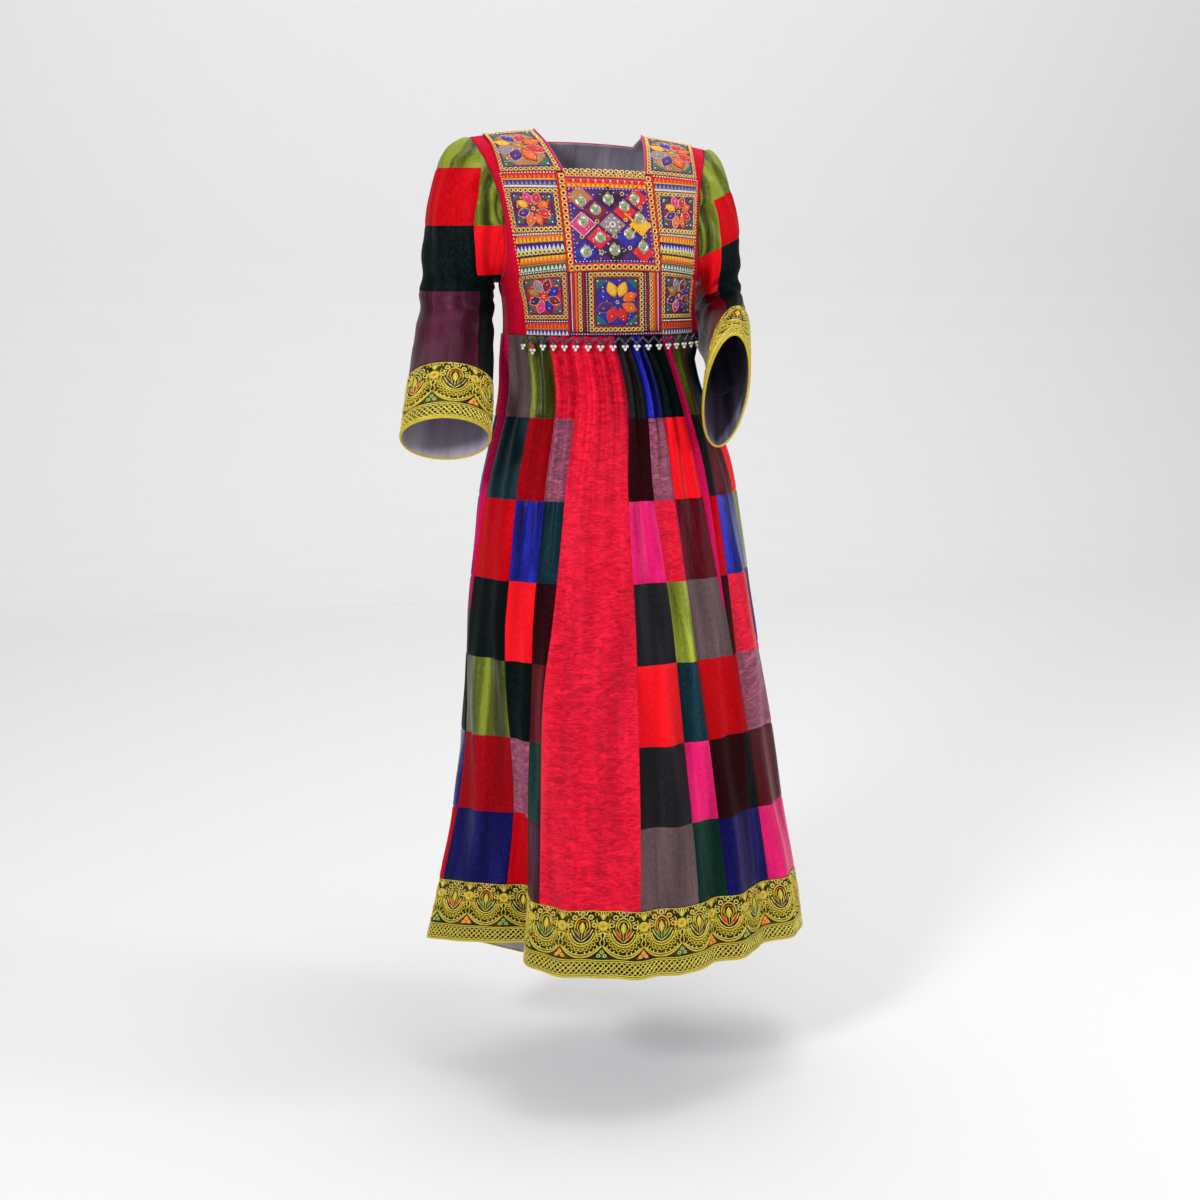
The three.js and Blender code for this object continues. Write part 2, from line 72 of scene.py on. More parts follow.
class Look:
    """A Principled material whose colour and relief come from its own nodes."""

    def __init__(self, name):
        self.material = bpy.data.materials.new(name)
        self.material.use_nodes = True
        tree = self.material.node_tree
        self.nodes, self.links, self.shader = tree.nodes, tree.links, tree.nodes["Principled BSDF"]

    def set(self, **values):
        for name, value in values.items():
            self.shader.inputs[name.replace("_", " ")].default_value = value

    def object_place(self):
        return self.nodes.new("ShaderNodeTexCoord").outputs["Object"]

    def noise(self, vector, scale=1.0, detail=3, rough=0.6, distortion=0.0):
        node = self.nodes.new("ShaderNodeTexNoise")
        values = {"Scale": scale, "Detail": detail, "Roughness": rough, "Distortion": distortion}
        for name, value in values.items():
            node.inputs[name].default_value = value
        self.links.new(vector, node.inputs["Vector"])
        return node.outputs["Fac"]

    def stretched(self, source, across, down):
        mapping = self.nodes.new("ShaderNodeMapping")
        mapping.inputs["Scale"].default_value = (across, down, 1)
        self.links.new(source, mapping.inputs["Vector"])
        return mapping.outputs["Vector"]

    def colour(self, value, stops):
        node = self.nodes.new("ShaderNodeValToRGB")
        elements = node.color_ramp.elements
        while len(elements) < len(stops):
            elements.new(0.5)
        for element, (place, colour) in zip(elements, stops):
            element.position = place
            element.color = (*colour, 1)
        self.links.new(value, node.inputs["Fac"])
        self.links.new(node.outputs["Color"], self.shader.inputs["Base Color"])

    def work_out(self, kind, first, second):
        node = self.nodes.new("ShaderNodeMath")
        node.operation = kind
        for socket, value in zip(node.inputs, (first, second)):
            if isinstance(value, (int, float)):
                socket.default_value = value
            else:
                self.links.new(value, socket)
        return node.outputs[0]

    def weighted(self, first, first_share, second, second_share):
        return self.work_out("ADD", self.work_out("MULTIPLY", first, first_share),
                             self.work_out("MULTIPLY", second, second_share))

    def relief(self, height, distance, strength):
        node = self.nodes.new("ShaderNodeBump")
        node.inputs["Strength"].default_value = strength
        node.inputs["Distance"].default_value = distance
        self.links.new(height, node.inputs["Height"])
        self.links.new(node.outputs["Normal"], self.shader.inputs["Normal"])


def velvet(name, colour, light=1.35, dark=0.7, rough=0.6, sheen=0.35, crush=0.0, satin=0.0, ribs=False):
    """Pile cloth: its nap, its weave and, where it is crushed, its creases follow the cloth's own UV map. Its
    colour ramp paints sheen as lighter highlight streaks and shade as darker streaks, mixed with the cloth's
    own mottling.
    """
    look, base = Look(name), linear(colour)
    uv = look.nodes.new("ShaderNodeUVMap").outputs["UV"]
    painted_sheen_streaks = look.noise(look.stretched(uv, 30, 2.6), detail=3, rough=0.5, distortion=0.25)
    if crush:
        fine_nap_and_painted_sheen = look.noise(look.stretched(uv, 55, 150), detail=5, rough=0.62, distortion=1.4)
    else:
        fine_nap_and_painted_sheen = look.noise(look.stretched(uv, 420, 150), detail=4, rough=0.7, distortion=0.4)
    coarse = 0.35 if crush else 0.5 + 0.35 * satin
    spread = 0.12 - 0.04 * satin
    # Painted sheen and shade: light lifts the base colour into highlight streaks and dark lowers it into
    # shaded streaks, mixed with the cloth's own mottling and, where it is crushed, its crush marks.
    look.colour(look.weighted(painted_sheen_streaks, coarse, fine_nap_and_painted_sheen, 1 - coarse),
                [(0.5 - spread, tinted(base, dark)), (0.5, base),
                 (0.5 + spread, tinted([c + 0.003 for c in base], light))])
    look.set(Roughness=rough, Sheen_Weight=sheen, Sheen_Roughness=0.3, Sheen_Tint=paler(base, 0.6, 1, 0.02),
             Specular_IOR_Level=0.08 + 0.42 * satin, Specular_Tint=paler(base, 0.5, 0.8, 0.2))
    weave = look.noise(look.stretched(uv, 1500, 1500), detail=2)
    slow = look.noise(look.stretched(uv, 30, 6), detail=3, rough=0.5, distortion=0.5)
    height = look.weighted(weave, 0.12, slow, 1.6 + 2.2 * satin)
    if crush:
        height = look.weighted(height, 1.0, fine_nap_and_painted_sheen, crush)
    if ribs:
        wave = look.nodes.new("ShaderNodeTexWave")
        wave.bands_direction = "Y"
        wave.inputs["Scale"].default_value = 95
        wave.inputs["Distortion"].default_value = 0.6
        look.links.new(uv, wave.inputs["Vector"])
        height = look.weighted(height, 1.0, wave.outputs["Fac"], 0.7)
    look.relief(height, 0.0018, 0.9)
    return look.material


def thread(name, colour, rough=0.42, metal=0.0):
    """Shiny embroidery thread or cord with a fine twist."""
    look, base = Look(name), linear(colour)
    twist = look.noise(look.object_place(), 900, 3, 0.6, 1.5)
    bright = tinted([c + 0.01 for c in base], 1.35)
    look.colour(twist, [(0.35, tinted(base, 0.5)), (0.5, base), (0.66, bright)])
    look.set(Roughness=rough, Metallic=metal, Sheen_Weight=0.15, Sheen_Tint=paler(base, 0.6, 1, 0.02),
             Specular_IOR_Level=0.3)
    look.relief(twist, 0.0006, 0.8)
    return look.material


def glossy(name, colour, rough=0.2, metal=0.0, coat=0.3):
    """Metal discs and rings, glass stones and beads."""
    look, base = Look(name), linear(colour)
    cloud = look.noise(look.object_place(), 350, 3)
    look.colour(cloud, [(0.3, tinted(base, 0.6)), (0.7, tinted(base, 1.25))])
    look.set(Roughness=rough, Metallic=metal, Coat_Weight=coat)
    look.relief(cloud, 0.0003, 0.5)
    return look.material


# Colour of each cloth; light and dark set how far its painted highlight streaks lift the colour and its
# painted shade streaks lower it.
COLOURS = {
    "crimson": ((212, 18, 48), dict(light=1.35, dark=0.62, crush=0.7, satin=0.35, rough=0.42)),
    "bodice": ((186, 8, 40), dict(light=1.35, dark=0.6)),
    "red": ((178, 2, 14), dict(light=1.35)),
    "bright_red": ((232, 12, 26), dict(light=1.25, satin=0.4, rough=0.42)),
    "black_green": ((4, 13, 14), dict(light=2.0, sheen=0.12)),
    "olive": ((84, 92, 20), dict(light=2.5, dark=0.26, satin=1.0, rough=0.24, sheen=0.08)),
    "taupe": ((90, 70, 72), dict(light=1.5, dark=0.6, satin=0.4, rough=0.42)),
    "mauve": ((136, 68, 92), dict(light=1.7, dark=0.6, crush=1.0, satin=0.6, rough=0.38)),
    "navy": ((11, 8, 74), dict(light=2.1, dark=0.5, sheen=0.35, satin=0.3, rough=0.42)),
    "royal": ((16, 20, 122), dict(light=2.9, dark=0.22, satin=0.9, rough=0.28, sheen=0.12)),
    "hot_pink": ((214, 20, 100), dict(light=1.35, dark=0.6, satin=0.7, rough=0.36)),
    "strip_pink": ((214, 16, 88), dict(light=1.3, ribs=True)),
    "maroon": ((76, 0, 12), dict(light=1.9, dark=0.5, satin=0.5, rough=0.38, sheen=0.3)),
    "dark_red": ((146, 4, 16), dict(light=1.5, dark=0.6, sheen=0.35)),
    "plum": ((60, 12, 34), dict(light=1.9, dark=0.5, satin=0.6, rough=0.36, sheen=0.3)),
    "dark_teal": ((4, 34, 44), dict(light=2.3, dark=0.4, satin=0.5, rough=0.4, sheen=0.35)),
    "charcoal": ((24, 23, 27), dict(light=1.6, satin=0.35, rough=0.4, sheen=0.06)),
    "dark_brown": ((36, 4, 8), dict(light=1.6, sheen=0.1)),
    "dark_green": ((3, 38, 30), dict(light=2.2, dark=0.45, satin=0.4, rough=0.42, sheen=0.35)),
    "lime": ((118, 128, 34), dict(light=2.0, dark=0.34, satin=1.0, rough=0.26, sheen=0.1)),
}
PALETTE = {name: velvet("cloth_" + name, colour, **look) for name, (colour, look) in COLOURS.items()}
LINING = velvet("lining_lavender", (182, 176, 192), light=1.15, dark=0.8, sheen=0.1, satin=0.8, rough=0.35)
DARK_LINING = velvet("lining_dark", (128, 118, 146), light=1.6, dark=0.4, sheen=0.3, satin=1.0, rough=0.28)
GROUND = velvet("band_ground", (52, 44, 18), light=2.6, dark=0.3, sheen=0.05)
GOLD = thread("gold_cord", (206, 184, 48), rough=0.34, metal=0.3)
PALE_GOLD = thread("pale_gold_cord", (228, 214, 104), rough=0.32, metal=0.3)
THREAD_COLOURS = {
    "red": (206, 20, 24),
    "green": (10, 104, 62),
    "plum": (62, 12, 66),
    "orange": (226, 96, 20),
    "yellow": (232, 172, 28),
    "blue": (34, 30, 148),
    "purple": (70, 18, 104),
    "pink": (214, 40, 104),
    "white": (214, 206, 202),
    "teal": (10, 96, 88),
    "black": (22, 14, 20),
    "tan": (170, 112, 62),
    "maroon": (122, 8, 30),
    "grey": (138, 122, 132),
    "olive": (128, 120, 22),
}
THREADS = {name: thread("thread_" + name, colour) for name, colour in THREAD_COLOURS.items()}
SILVER = glossy("disc_silver", (190, 186, 176), rough=0.3, metal=0.9)
BRASS = glossy("ring_brass", (238, 198, 112), rough=0.3, metal=0.35)
GREEN_GLASS = glossy("glass_green", (96, 150, 104), rough=0.12, coat=0.8)
DARK_BEAD = glossy("bead_dark", (40, 22, 52), rough=0.18, coat=0.6)
VIOLET_BEAD = glossy("bead_violet", (66, 40, 110), rough=0.18, coat=0.6)
WHITE_BEAD = glossy("bead_white", (236, 232, 226), rough=0.22, coat=0.5)
RED_BEAD = glossy("bead_red", (190, 16, 22), rough=0.2, coat=0.5)

# Shapes of the dress: the tables match the solids

# Share of the way down, centre x and y, half width, and depth in front and behind.
SKIRT = [
    (0, 17, -4, 149, 110, 104),
    (0.1, 33, -7, 167, 128, 124),
    (0.25, 29, -8, 197, 156, 150),
    (0.5, 37, -8, 230, 193, 182),
    (0.75, 45, -9, 264, 226, 200),
    (0.9, 47, -9, 295, 247, 212),
    (1, 43, -9, 315, 262, 220),
]
# Angle, spread to each side in degrees, depth, and where each fold begins and is full.
FOLDS = [
    (-60, 24, 13, 116, 0.45, 1.05),
    (22, 9, 12, 17, 0.3, 1),
    (47, 12, 10, 26, 0.25, 1),
    (82, 14, 12, 30, 0.2, 1),
    (117, 13, 15, 34, 0.2, 1),
    (151, 13, 12, 28, 0.2, 1),
    (186, 14, 14, 36, 0.15, 1),
    (221, 14, 13, 64, 0.4, 1),
    (247, 14, 13, 34, 0.2, 1),
]
# Name, first edge at five heights in degrees, gathers, and the cloth of each patch from the waist down.
GORES = [
    ("gore_z", (-113, -112, -111.5, -111, -110), 2, "bright_red royal navy taupe black_green royal red"),
    ("gore_a", (-90, -88, -87.6, -89.2, -92), 1, "strip_pink strip_pink strip_pink strip_pink"),
    ("gore_b", (-82, -83.5, -86.4, -89.2, -92), 2, "taupe dark_teal red black_green olive dark_red navy"),
    ("gore_c", (-66, -61, -61, -63, -69), 2, "olive dark_red royal bright_red black_green mauve red"),
    ("gore_d", (-50, -46, -48, -51, -55), 2, "crimson mauve dark_teal dark_brown maroon dark_green plum"),
    ("gore_e", (-36, -36, -39, -44, -40), 4, "crimson crimson crimson crimson crimson crimson crimson"),
    ("gore_f", (-2, -2.5, -3, -4.5, -7.5), 2,
     "charcoal dark_brown hot_pink charcoal bright_red charcoal taupe"),
    ("gore_g", (10, 12, 15, 16, 15), 2, "royal mauve crimson lime dark_teal hot_pink dark_green"),
    ("gore_h", (20, 24, 25, 27, 29), 2, "black_green bright_red maroon taupe red dark_brown navy"),
    ("gore_i", (36, 41.5, 44.6, 47.2, 45), 1, "strip_pink strip_pink strip_pink strip_pink"),
    ("gore_j", (46, 47, 45.8, 47.2, 45), 1, "olive charcoal red dark_brown dark_red black_green navy"),
    ("gore_k", (56, 53, 52, 51, 51), 2, "taupe maroon royal crimson mauve maroon hot_pink"),
    ("gore_l", (72, 72, 72, 72, 72), 2, "dark_teal bright_red olive navy red taupe black_green"),
    ("gore_m", (91, 91, 91, 91, 91), 2, "red taupe black_green hot_pink royal olive maroon"),
    ("gore_n", (110, 110, 110, 110, 110), 2, "mauve navy bright_red dark_green plum red royal"),
    ("gore_o", (129, 129, 129, 129, 129), 2, "black_green hot_pink dark_brown olive bright_red navy taupe"),
    ("gore_p", (148, 148, 148, 148, 148), 2, "royal red mauve black_green taupe crimson dark_teal"),
    ("gore_q", (167, 167, 167, 167, 167), 2, "olive plum royal red charcoal mauve bright_red"),
    ("gore_r", (186, 186, 186, 186, 186), 2, "bright_red dark_teal taupe navy hot_pink black_green olive"),
    ("gore_s", (206, 206, 206, 206, 206), 2, "navy mauve red charcoal olive royal maroon"),
    ("gore_t", (226, 226, 226, 226.5, 227), 2, "taupe black_green hot_pink dark_teal dark_red lime navy"),
]
SHORT = {"gore_a", "gore_i"}
EDGE_LEVELS = (0, 0.25, 0.44, 0.66, 1)
SHORT_END = 0.44
# Angle and its spread, height and its spread, and depth of the hollow under the left forearm.
FOREARM = (74, 30, 0.08, 0.09, 36)
# Angle, spread and length of the trailing back hem, and how far the hem lifts at the sides.
TRAIL = (-143, 36, 45)
SIDE_LIFT = 15


def hermite(xs, ys, at):
    """A smooth curve through a few points, for one value or an array of them."""
    xs = np.asarray(xs, float)
    ys = np.asarray(ys, float)
    slopes = np.empty(len(xs))
    slopes[1:-1] = (ys[2:] - ys[:-2]) / (xs[2:] - xs[:-2])
    slopes[0] = (ys[1] - ys[0]) / (xs[1] - xs[0])
    slopes[-1] = (ys[-1] - ys[-2]) / (xs[-1] - xs[-2])
    at = np.clip(at, xs[0], xs[-1])
    i = np.clip(np.searchsorted(xs, at, side="right") - 1, 0, len(xs) - 2)
    span = xs[i + 1] - xs[i]
    t = (at - xs[i]) / span
    return ((2 * t**3 - 3 * t**2 + 1) * ys[i] + (3 * t**2 - 2 * t**3) * ys[i + 1]
            + (t**3 - 2 * t**2 + t) * span * slopes[i] + (t**3 - t**2) * span * slopes[i + 1])


def along(table, column, at):
    return hermite([row[0] for row in table], [row[column] for row in table], at)


def gore_edge(number, t):
    turns, index = divmod(number, len(GORES))
    return hermite(EDGE_LEVELS, GORES[index][1], t) + 360 * turns


def from_angle(angle, place):
    """Degrees from a place round the skirt, between -180 and 180."""
    return (angle - place + 540) % 360 - 180


def skirt_points(angle, t, wave):
    """Points of the skirt's outer face; angle and t are arrays, wave is the gather's height from -1."""
    turn = np.radians(angle)
    sine, cosine = np.sin(turn), np.cos(turn)
    depth = np.where(cosine > 0, along(SKIRT, 4, t), along(SKIRT, 5, t))
    radius = 1 / np.hypot(sine / along(SKIRT, 3, t), cosine / depth)
    for place, left, right, deep, begin, full in FOLDS:
        away = from_angle(angle, place)
        away = away / np.where(away < 0, left, right)
        grown = np.clip((t - begin) / (full - begin), 0, 1)
        radius = radius - deep * grown**1.2 * np.exp(-(away**2))
    place, spread, height, height_spread, deep = FOREARM
    press = np.exp(-(((angle - place) / spread) ** 2)) * np.exp(-(((t - height) / height_spread) ** 2))
    radius = radius - deep * press * np.minimum(t / 0.04, 1)
    # Gathers fade out below the waist; slow flutes and slack grow between the main folds.
    radius = radius + wave * (1 + 4.6 * np.minimum(t / 0.05, 1)) * np.maximum(1 - t / 0.4, 0) ** 1.25
    loose = np.clip((t - 0.12) / 0.4, 0, 1)
    flutes = 3.6 * np.sin(turn * 17 + 2.4 * np.sin(t * 5)) + 2.2 * np.sin(turn * 29 + 4 * t + 1)
    radius = radius + loose * flutes
    back = ((1 - cosine) / 2) ** 2
    place, spread, length = TRAIL
    trail = length * t**4 * np.exp(-((from_angle(angle, place) / spread) ** 2))
    lift = SIDE_LIFT * sine**2 * np.clip((t - 0.75) / 0.25, 0, 1)
    z = WAIST_Z - HALF_GAP - t * (FRONT_FALL + BACK_FALL * back) - trail + lift
    return np.stack([along(SKIRT, 1, t) + radius * sine, along(SKIRT, 2, t) - radius * cosine, z], axis=-1)


# Step, edge x, y, z, centre y, z and the bib's share of the width, up the bodice front.
FRONT = [
    (-3, 149, -4, -290, -114, -290, 0.84),
    (-2, 147, -3, -265, -117, -262, 0.85),
    (-1, 147, -1, -240, -123, -234, 0.86),
    (0, 150, 0, -215, -127, -205, 0.87),
    (0.15, 147, -36, -200, -129, -186, 0.88),
    (0.35, 144, -56, -160, -124, -152, 0.93),
    (0.55, 147, -57, -110, -111, -112, 0.95),
    (0.75, 158, -44, -62, -90, -58, 0.93),
    (0.9, 171, -19, -27, -44, -18, 0.89),
    (1, 178, 5, -12, 5, 5, 0.89),
]
BACK = [
    (-3, 149, -4, -290, 100, -290, 0.86),
    (-2, 147, -3, -265, 98, -265, 0.86),
    (-1, 147, -1, -240, 99, -240, 0.86),
    (0, 150, 0, -215, 102, -212, 0.86),
    (0.15, 149, 40, -198, 106, -190, 0.86),
    (0.35, 150, 61, -155, 108, -150, 0.86),
    (0.55, 154, 62, -105, 104, -104, 0.86),
    (0.75, 163, 48, -58, 88, -56, 0.86),
    (0.9, 173, 25, -26, 45, -14, 0.86),
    (1, 178, 5, -12, 5, 5, 0.86),
]
NECK_STEP = 0.75
BACK_NECK_STEP = 0.92
SHOULDER = 178
# Columns of the bodice grid where the bib and the neck begin and end.
BIB_FIRST, NECK_FIRST, NECK_LAST, BIB_LAST = 6, 20, 44, 58


def tilt(x, z):
    """The wearer's left shoulder lies 8 mm lower, less so towards the waist."""
    return z - (x / SHOULDER) * 8 * np.maximum(0, 1 + z / 215)


def lean(x, z):
    return x + z / WAIST_Z * LEAN


def edge_points(table, side, step):
    z = along(table, 3, step)
    x = side * along(table, 1, step)
    return np.stack([lean(x, z), along(table, 2, step), tilt(x, z)], axis=-1)


def bodice_points(table, share, step):
    """Points of the bodice's outer face; share runs from -1 to 1 across it."""
    edge_y, edge_z = along(table, 2, step), along(table, 3, step)
    middle_y, middle_z = along(table, 4, step), along(table, 5, step)
    bend = np.where(step <= 0, 0.5, 0.5 + 0.3 * np.minimum(step / 0.3, 1))
    y = edge_y + (middle_y - edge_y) * np.maximum(1 - share**2, 0) ** bend
    y = y + (-HALF_GAP if table is FRONT else HALF_GAP)
    z = middle_z + (edge_z - middle_z) * share**2
    x = share * along(table, 1, step)
    return np.stack([lean(x, z), y, tilt(x, z) + HALF_GAP], axis=-1)


def neck_share(step):
    half = 60 + 22 * np.maximum(0, (step - NECK_STEP) / (1 - NECK_STEP))
    return half / along(FRONT, 1, step)


# Outer and inner point and the reach to the front of each sleeve ring.
SLEEVE_RIGHT = [
    ((-203, 5, -16), (-141, 1, -216), (-62, 0)),
    ((-227, 5, -42), (-142, 2, -218), (-62, 0)),
    ((-238, 5, -92), (-143, 3, -222), (-61, 5)),
    ((-246, 5, -156), (-144, 4, -230), (-60, 8)),
    ((-250, 3, -214), (-144, 3, -250), (-58, 10)),
    ((-257, -10, -262), (-148, -10, -286), (-55, 16)),
    ((-272, -42, -310), (-154, -40, -328), (-49, 26)),
    ((-286, -84, -350), (-162, -82, -364), (-45, 33)),
]
CUFF_RIGHT = [
    ((-297, -120, -387), (-169, -117, -399), (-43, 34)),
    ((-308, -156, -424), (-178, -152, -434), (-42, 34)),
]
SLEEVE_LEFT = [
    ((196, 5, -28), (166, 1, -216), (-62, 0)),
    ((212, 6, -58), (168, 3, -219), (-62, 0)),
    ((226, 10, -102), (169, 8, -224), (-63, 3)),
    ((235, 18, -160), (170, 16, -234), (-66, 8)),
    ((240, 30, -218), (172, 26, -252), (-69, 22)),
    ((241, 20, -266), (176, 14, -278), (-66, 44)),
    ((236, -22, -292), (178, -28, -294), (-56, 58)),
    ((222, -92, -318), (160, -98, -316), (-45, 70)),
]
CUFF_LEFT = [
    ((208, -140, -344), (142, -146, -342), (-42, 78)),
    ((194, -188, -368), (126, -194, -366), (-40, 84)),
]
SLEEVE_STEPS = [0, 0.08, 0.18, 0.3, 0.42, 0.54, 0.65, 0.75, 0.84, 0.92, 1]


def ring_points(row, turn):
    outer, inner, reach = (np.array(v, float) for v in row)
    centre, out = (outer + inner) / 2, (outer - inner) / 2
    forward = np.array([0, reach[0], reach[1]])
    return centre - out * np.cos(turn)[:, None] + forward * np.sin(turn)[:, None]


def sleeve_rings(side, rows):
    """The armhole and each coarse ring of a sleeve, at twenty points round it."""
    steps = np.array(SLEEVE_STEPS)
    loop = np.concatenate([edge_points(FRONT, side, steps), edge_points(BACK, side, steps[1:-1][::-1])])
    turn = np.arange(len(loop)) / len(loop) * 2 * math.pi
    rings = [loop + np.array([side * 0.4, 0, 0])]
    for k, row in enumerate(rows):
        own = min((k + 1) / 3, 1)
        carried = loop + np.array([row[0][0] - SHOULDER * side, 0, 0])
        target = ring_points(row, turn)
        rings.append(((loop + carried) / 2) * (1 - own) + target * own)
    return rings, turn


# Mesh making


def spline(points, count, closed=False):
    """Resamples points along the first axis with a smooth curve, count cells for each given cell."""
    points = np.asarray(points, float)
    n = len(points)
    cells = n if closed else n - 1
    t = np.arange(cells * count + (0 if closed else 1)) / count
    i = np.minimum(t.astype(int), cells - 1)
    f = (t - i).reshape((-1,) + (1,) * (points.ndim - 1))
    pick = (lambda k: points[k % n]) if closed else (lambda k: points[np.clip(k, 0, n - 1)])
    a, b, c, d = pick(i - 1), pick(i), pick(i + 1), pick(i + 2)
    return 0.5 * (2 * b + (c - a) * f + (2 * a - 5 * b + 4 * c - d) * f**2 + (3 * b - a - 3 * c + d) * f**3)


def refined(grid, down, across):
    """A closed grid with more rows and columns on the same smooth form."""
    grid = spline(grid, down)
    return np.swapaxes(spline(np.swapaxes(grid, 0, 1), across, closed=True), 0, 1)


def resampled(points, at):
    """Points of a line at places given in steps of its own points."""
    own = np.arange(len(points))
    return np.stack([np.interp(at, own, points[:, axis]) for axis in range(3)], axis=1)


def joined(grid):
    """A closed grid with its first column repeated at the end."""
    return np.concatenate([grid, grid[:, :1]], axis=1)


def running(points):
    """Length along a line at each of its points."""
    return np.concatenate([[0], np.cumsum(np.linalg.norm(np.diff(points, axis=0), axis=1))])


def longest(grid, axis):
    """The longest line of a grid, across it for axis 1 and down it for axis 0, in metres."""
    return float(np.linalg.norm(np.diff(grid, axis=axis), axis=2).sum(axis=axis).max()) * MM


def grid_normals(grid, closed, side):
    down = np.gradient(grid, axis=0)
    if closed:
        across = (np.roll(grid, -1, axis=1) - np.roll(grid, 1, axis=1)) / 2
    else:
        across = np.gradient(grid, axis=1)
    normals = np.cross(down, across) * side
    return normals / np.maximum(np.linalg.norm(normals, axis=2, keepdims=True), 1e-9)


def grid_uv(grid):
    """Cloth coordinates in metres: across along the middle row, down along each column."""
    across = np.linalg.norm(np.diff(grid, axis=1), axis=2)
    u = np.concatenate([np.zeros((len(grid), 1)), np.cumsum(across, axis=1)], axis=1)
    u = u - u[:, [u.shape[1] // 2]]
    down = np.linalg.norm(np.diff(grid, axis=0), axis=2)
    v = np.concatenate([np.zeros((1, grid.shape[1])), np.cumsum(down, axis=0)], axis=0)
    return np.stack([u, v], axis=-1) * MM


def finish_mesh(name, vertices, faces, materials, indices, uvs=None):
    mesh = bpy.data.meshes.new(name)
    mesh.from_pydata((np.asarray(vertices) * MM).tolist(), [], faces)
    for material in materials:
        mesh.materials.append(material)
    mesh.polygons.foreach_set("material_index", np.asarray(indices, np.int32))
    mesh.polygons.foreach_set("use_smooth", np.ones(len(faces), bool))
    if uvs is not None:
        layer = mesh.uv_layers.new(name="cloth")
        corners = np.empty(len(mesh.loops), np.int32)
        mesh.loops.foreach_get("vertex_index", corners)
        layer.data.foreach_set("uv", np.asarray(uvs, np.float32)[corners].ravel())
    mesh.update()
    piece = bpy.data.objects.new(name, mesh)
    bpy.context.scene.collection.objects.link(piece)
    return piece


def shell(name, grid, normals, side, materials, cells=None, closed=False, keep=None, thick=CLOTH):
    """A thin closed cloth: outer face on the grid, lining inside, rims at every open edge."""
    rows, columns = grid.shape[:2]
    count = columns if closed else columns - 1
    vertices = np.concatenate([grid.reshape(-1, 3), (grid - normals * thick).reshape(-1, 3)])
    uvs = np.concatenate([grid_uv(grid).reshape(-1, 2)] * 2)
    if keep is None:
        keep = np.ones((rows - 1, count), bool)
    if cells is None:
        cells = np.zeros(keep.shape)
    half = rows * columns
    faces, indices = [], []
    lining = len(materials) - 1

    def add(quad, index):
        faces.append(quad if side < 0 else quad[::-1])
        indices.append(index)

    def held(r, c):
        if closed:
            c %= count
        return 0 <= r < rows - 1 and 0 <= c < count and keep[r, c]

    for r in range(rows - 1):
        for c in range(count):
            if not keep[r, c]:
                continue
            d = (c + 1) % columns
            p, q = r * columns + c, r * columns + d
            s, t = q + columns, p + columns
            colour = int(cells[r, c])
            add((p, q, s, t), colour)
            add((t + half, s + half, q + half, p + half), lining)
            if not held(r - 1, c):
                add((q, p, p + half, q + half), colour)
            if not held(r + 1, c):
                add((t, s, s + half, t + half), colour)
            if not held(r, c - 1):
                add((p, t, t + half, p + half), colour)
            if not held(r, c + 1):
                add((s, q, q + half, s + half), colour)
    used = sorted({v for face in faces for v in face})
    place = np.full(len(vertices), -1)
    place[used] = np.arange(len(used))
    faces = [tuple(int(place[v]) for v in face) for face in faces]
    return finish_mesh(name, vertices[used], faces, materials, indices, uvs[used])


def declare(piece, node, grid, width=None, length=None):
    """Measures a cloth's flat size on its own grid, parents the cloth to the root and hides the solid it
    stands for.
    """
    width = width or longest(grid, 1)
    length = length or longest(grid, 0)
    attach(piece, "root")
    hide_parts(node)


# Skirt


def patch_levels():
    """Heights of the skirt's mesh rows, close together at each seam between patches."""
    inside = [0.0, 0.012, 0.03, 0.07, 0.14, 0.23, 0.34, 0.45, 0.56, 0.67, 0.78, 0.87, 0.93, 0.97, 0.988]
    levels = [(row + share) / PATCH_ROWS * BAND_START for row in range(PATCH_ROWS) for share in inside]
    return np.array(levels + [BAND_START])


def seam_dip(distance, width=2.2, depth=0.9):
    return depth * np.exp(-((distance / width) ** 2))


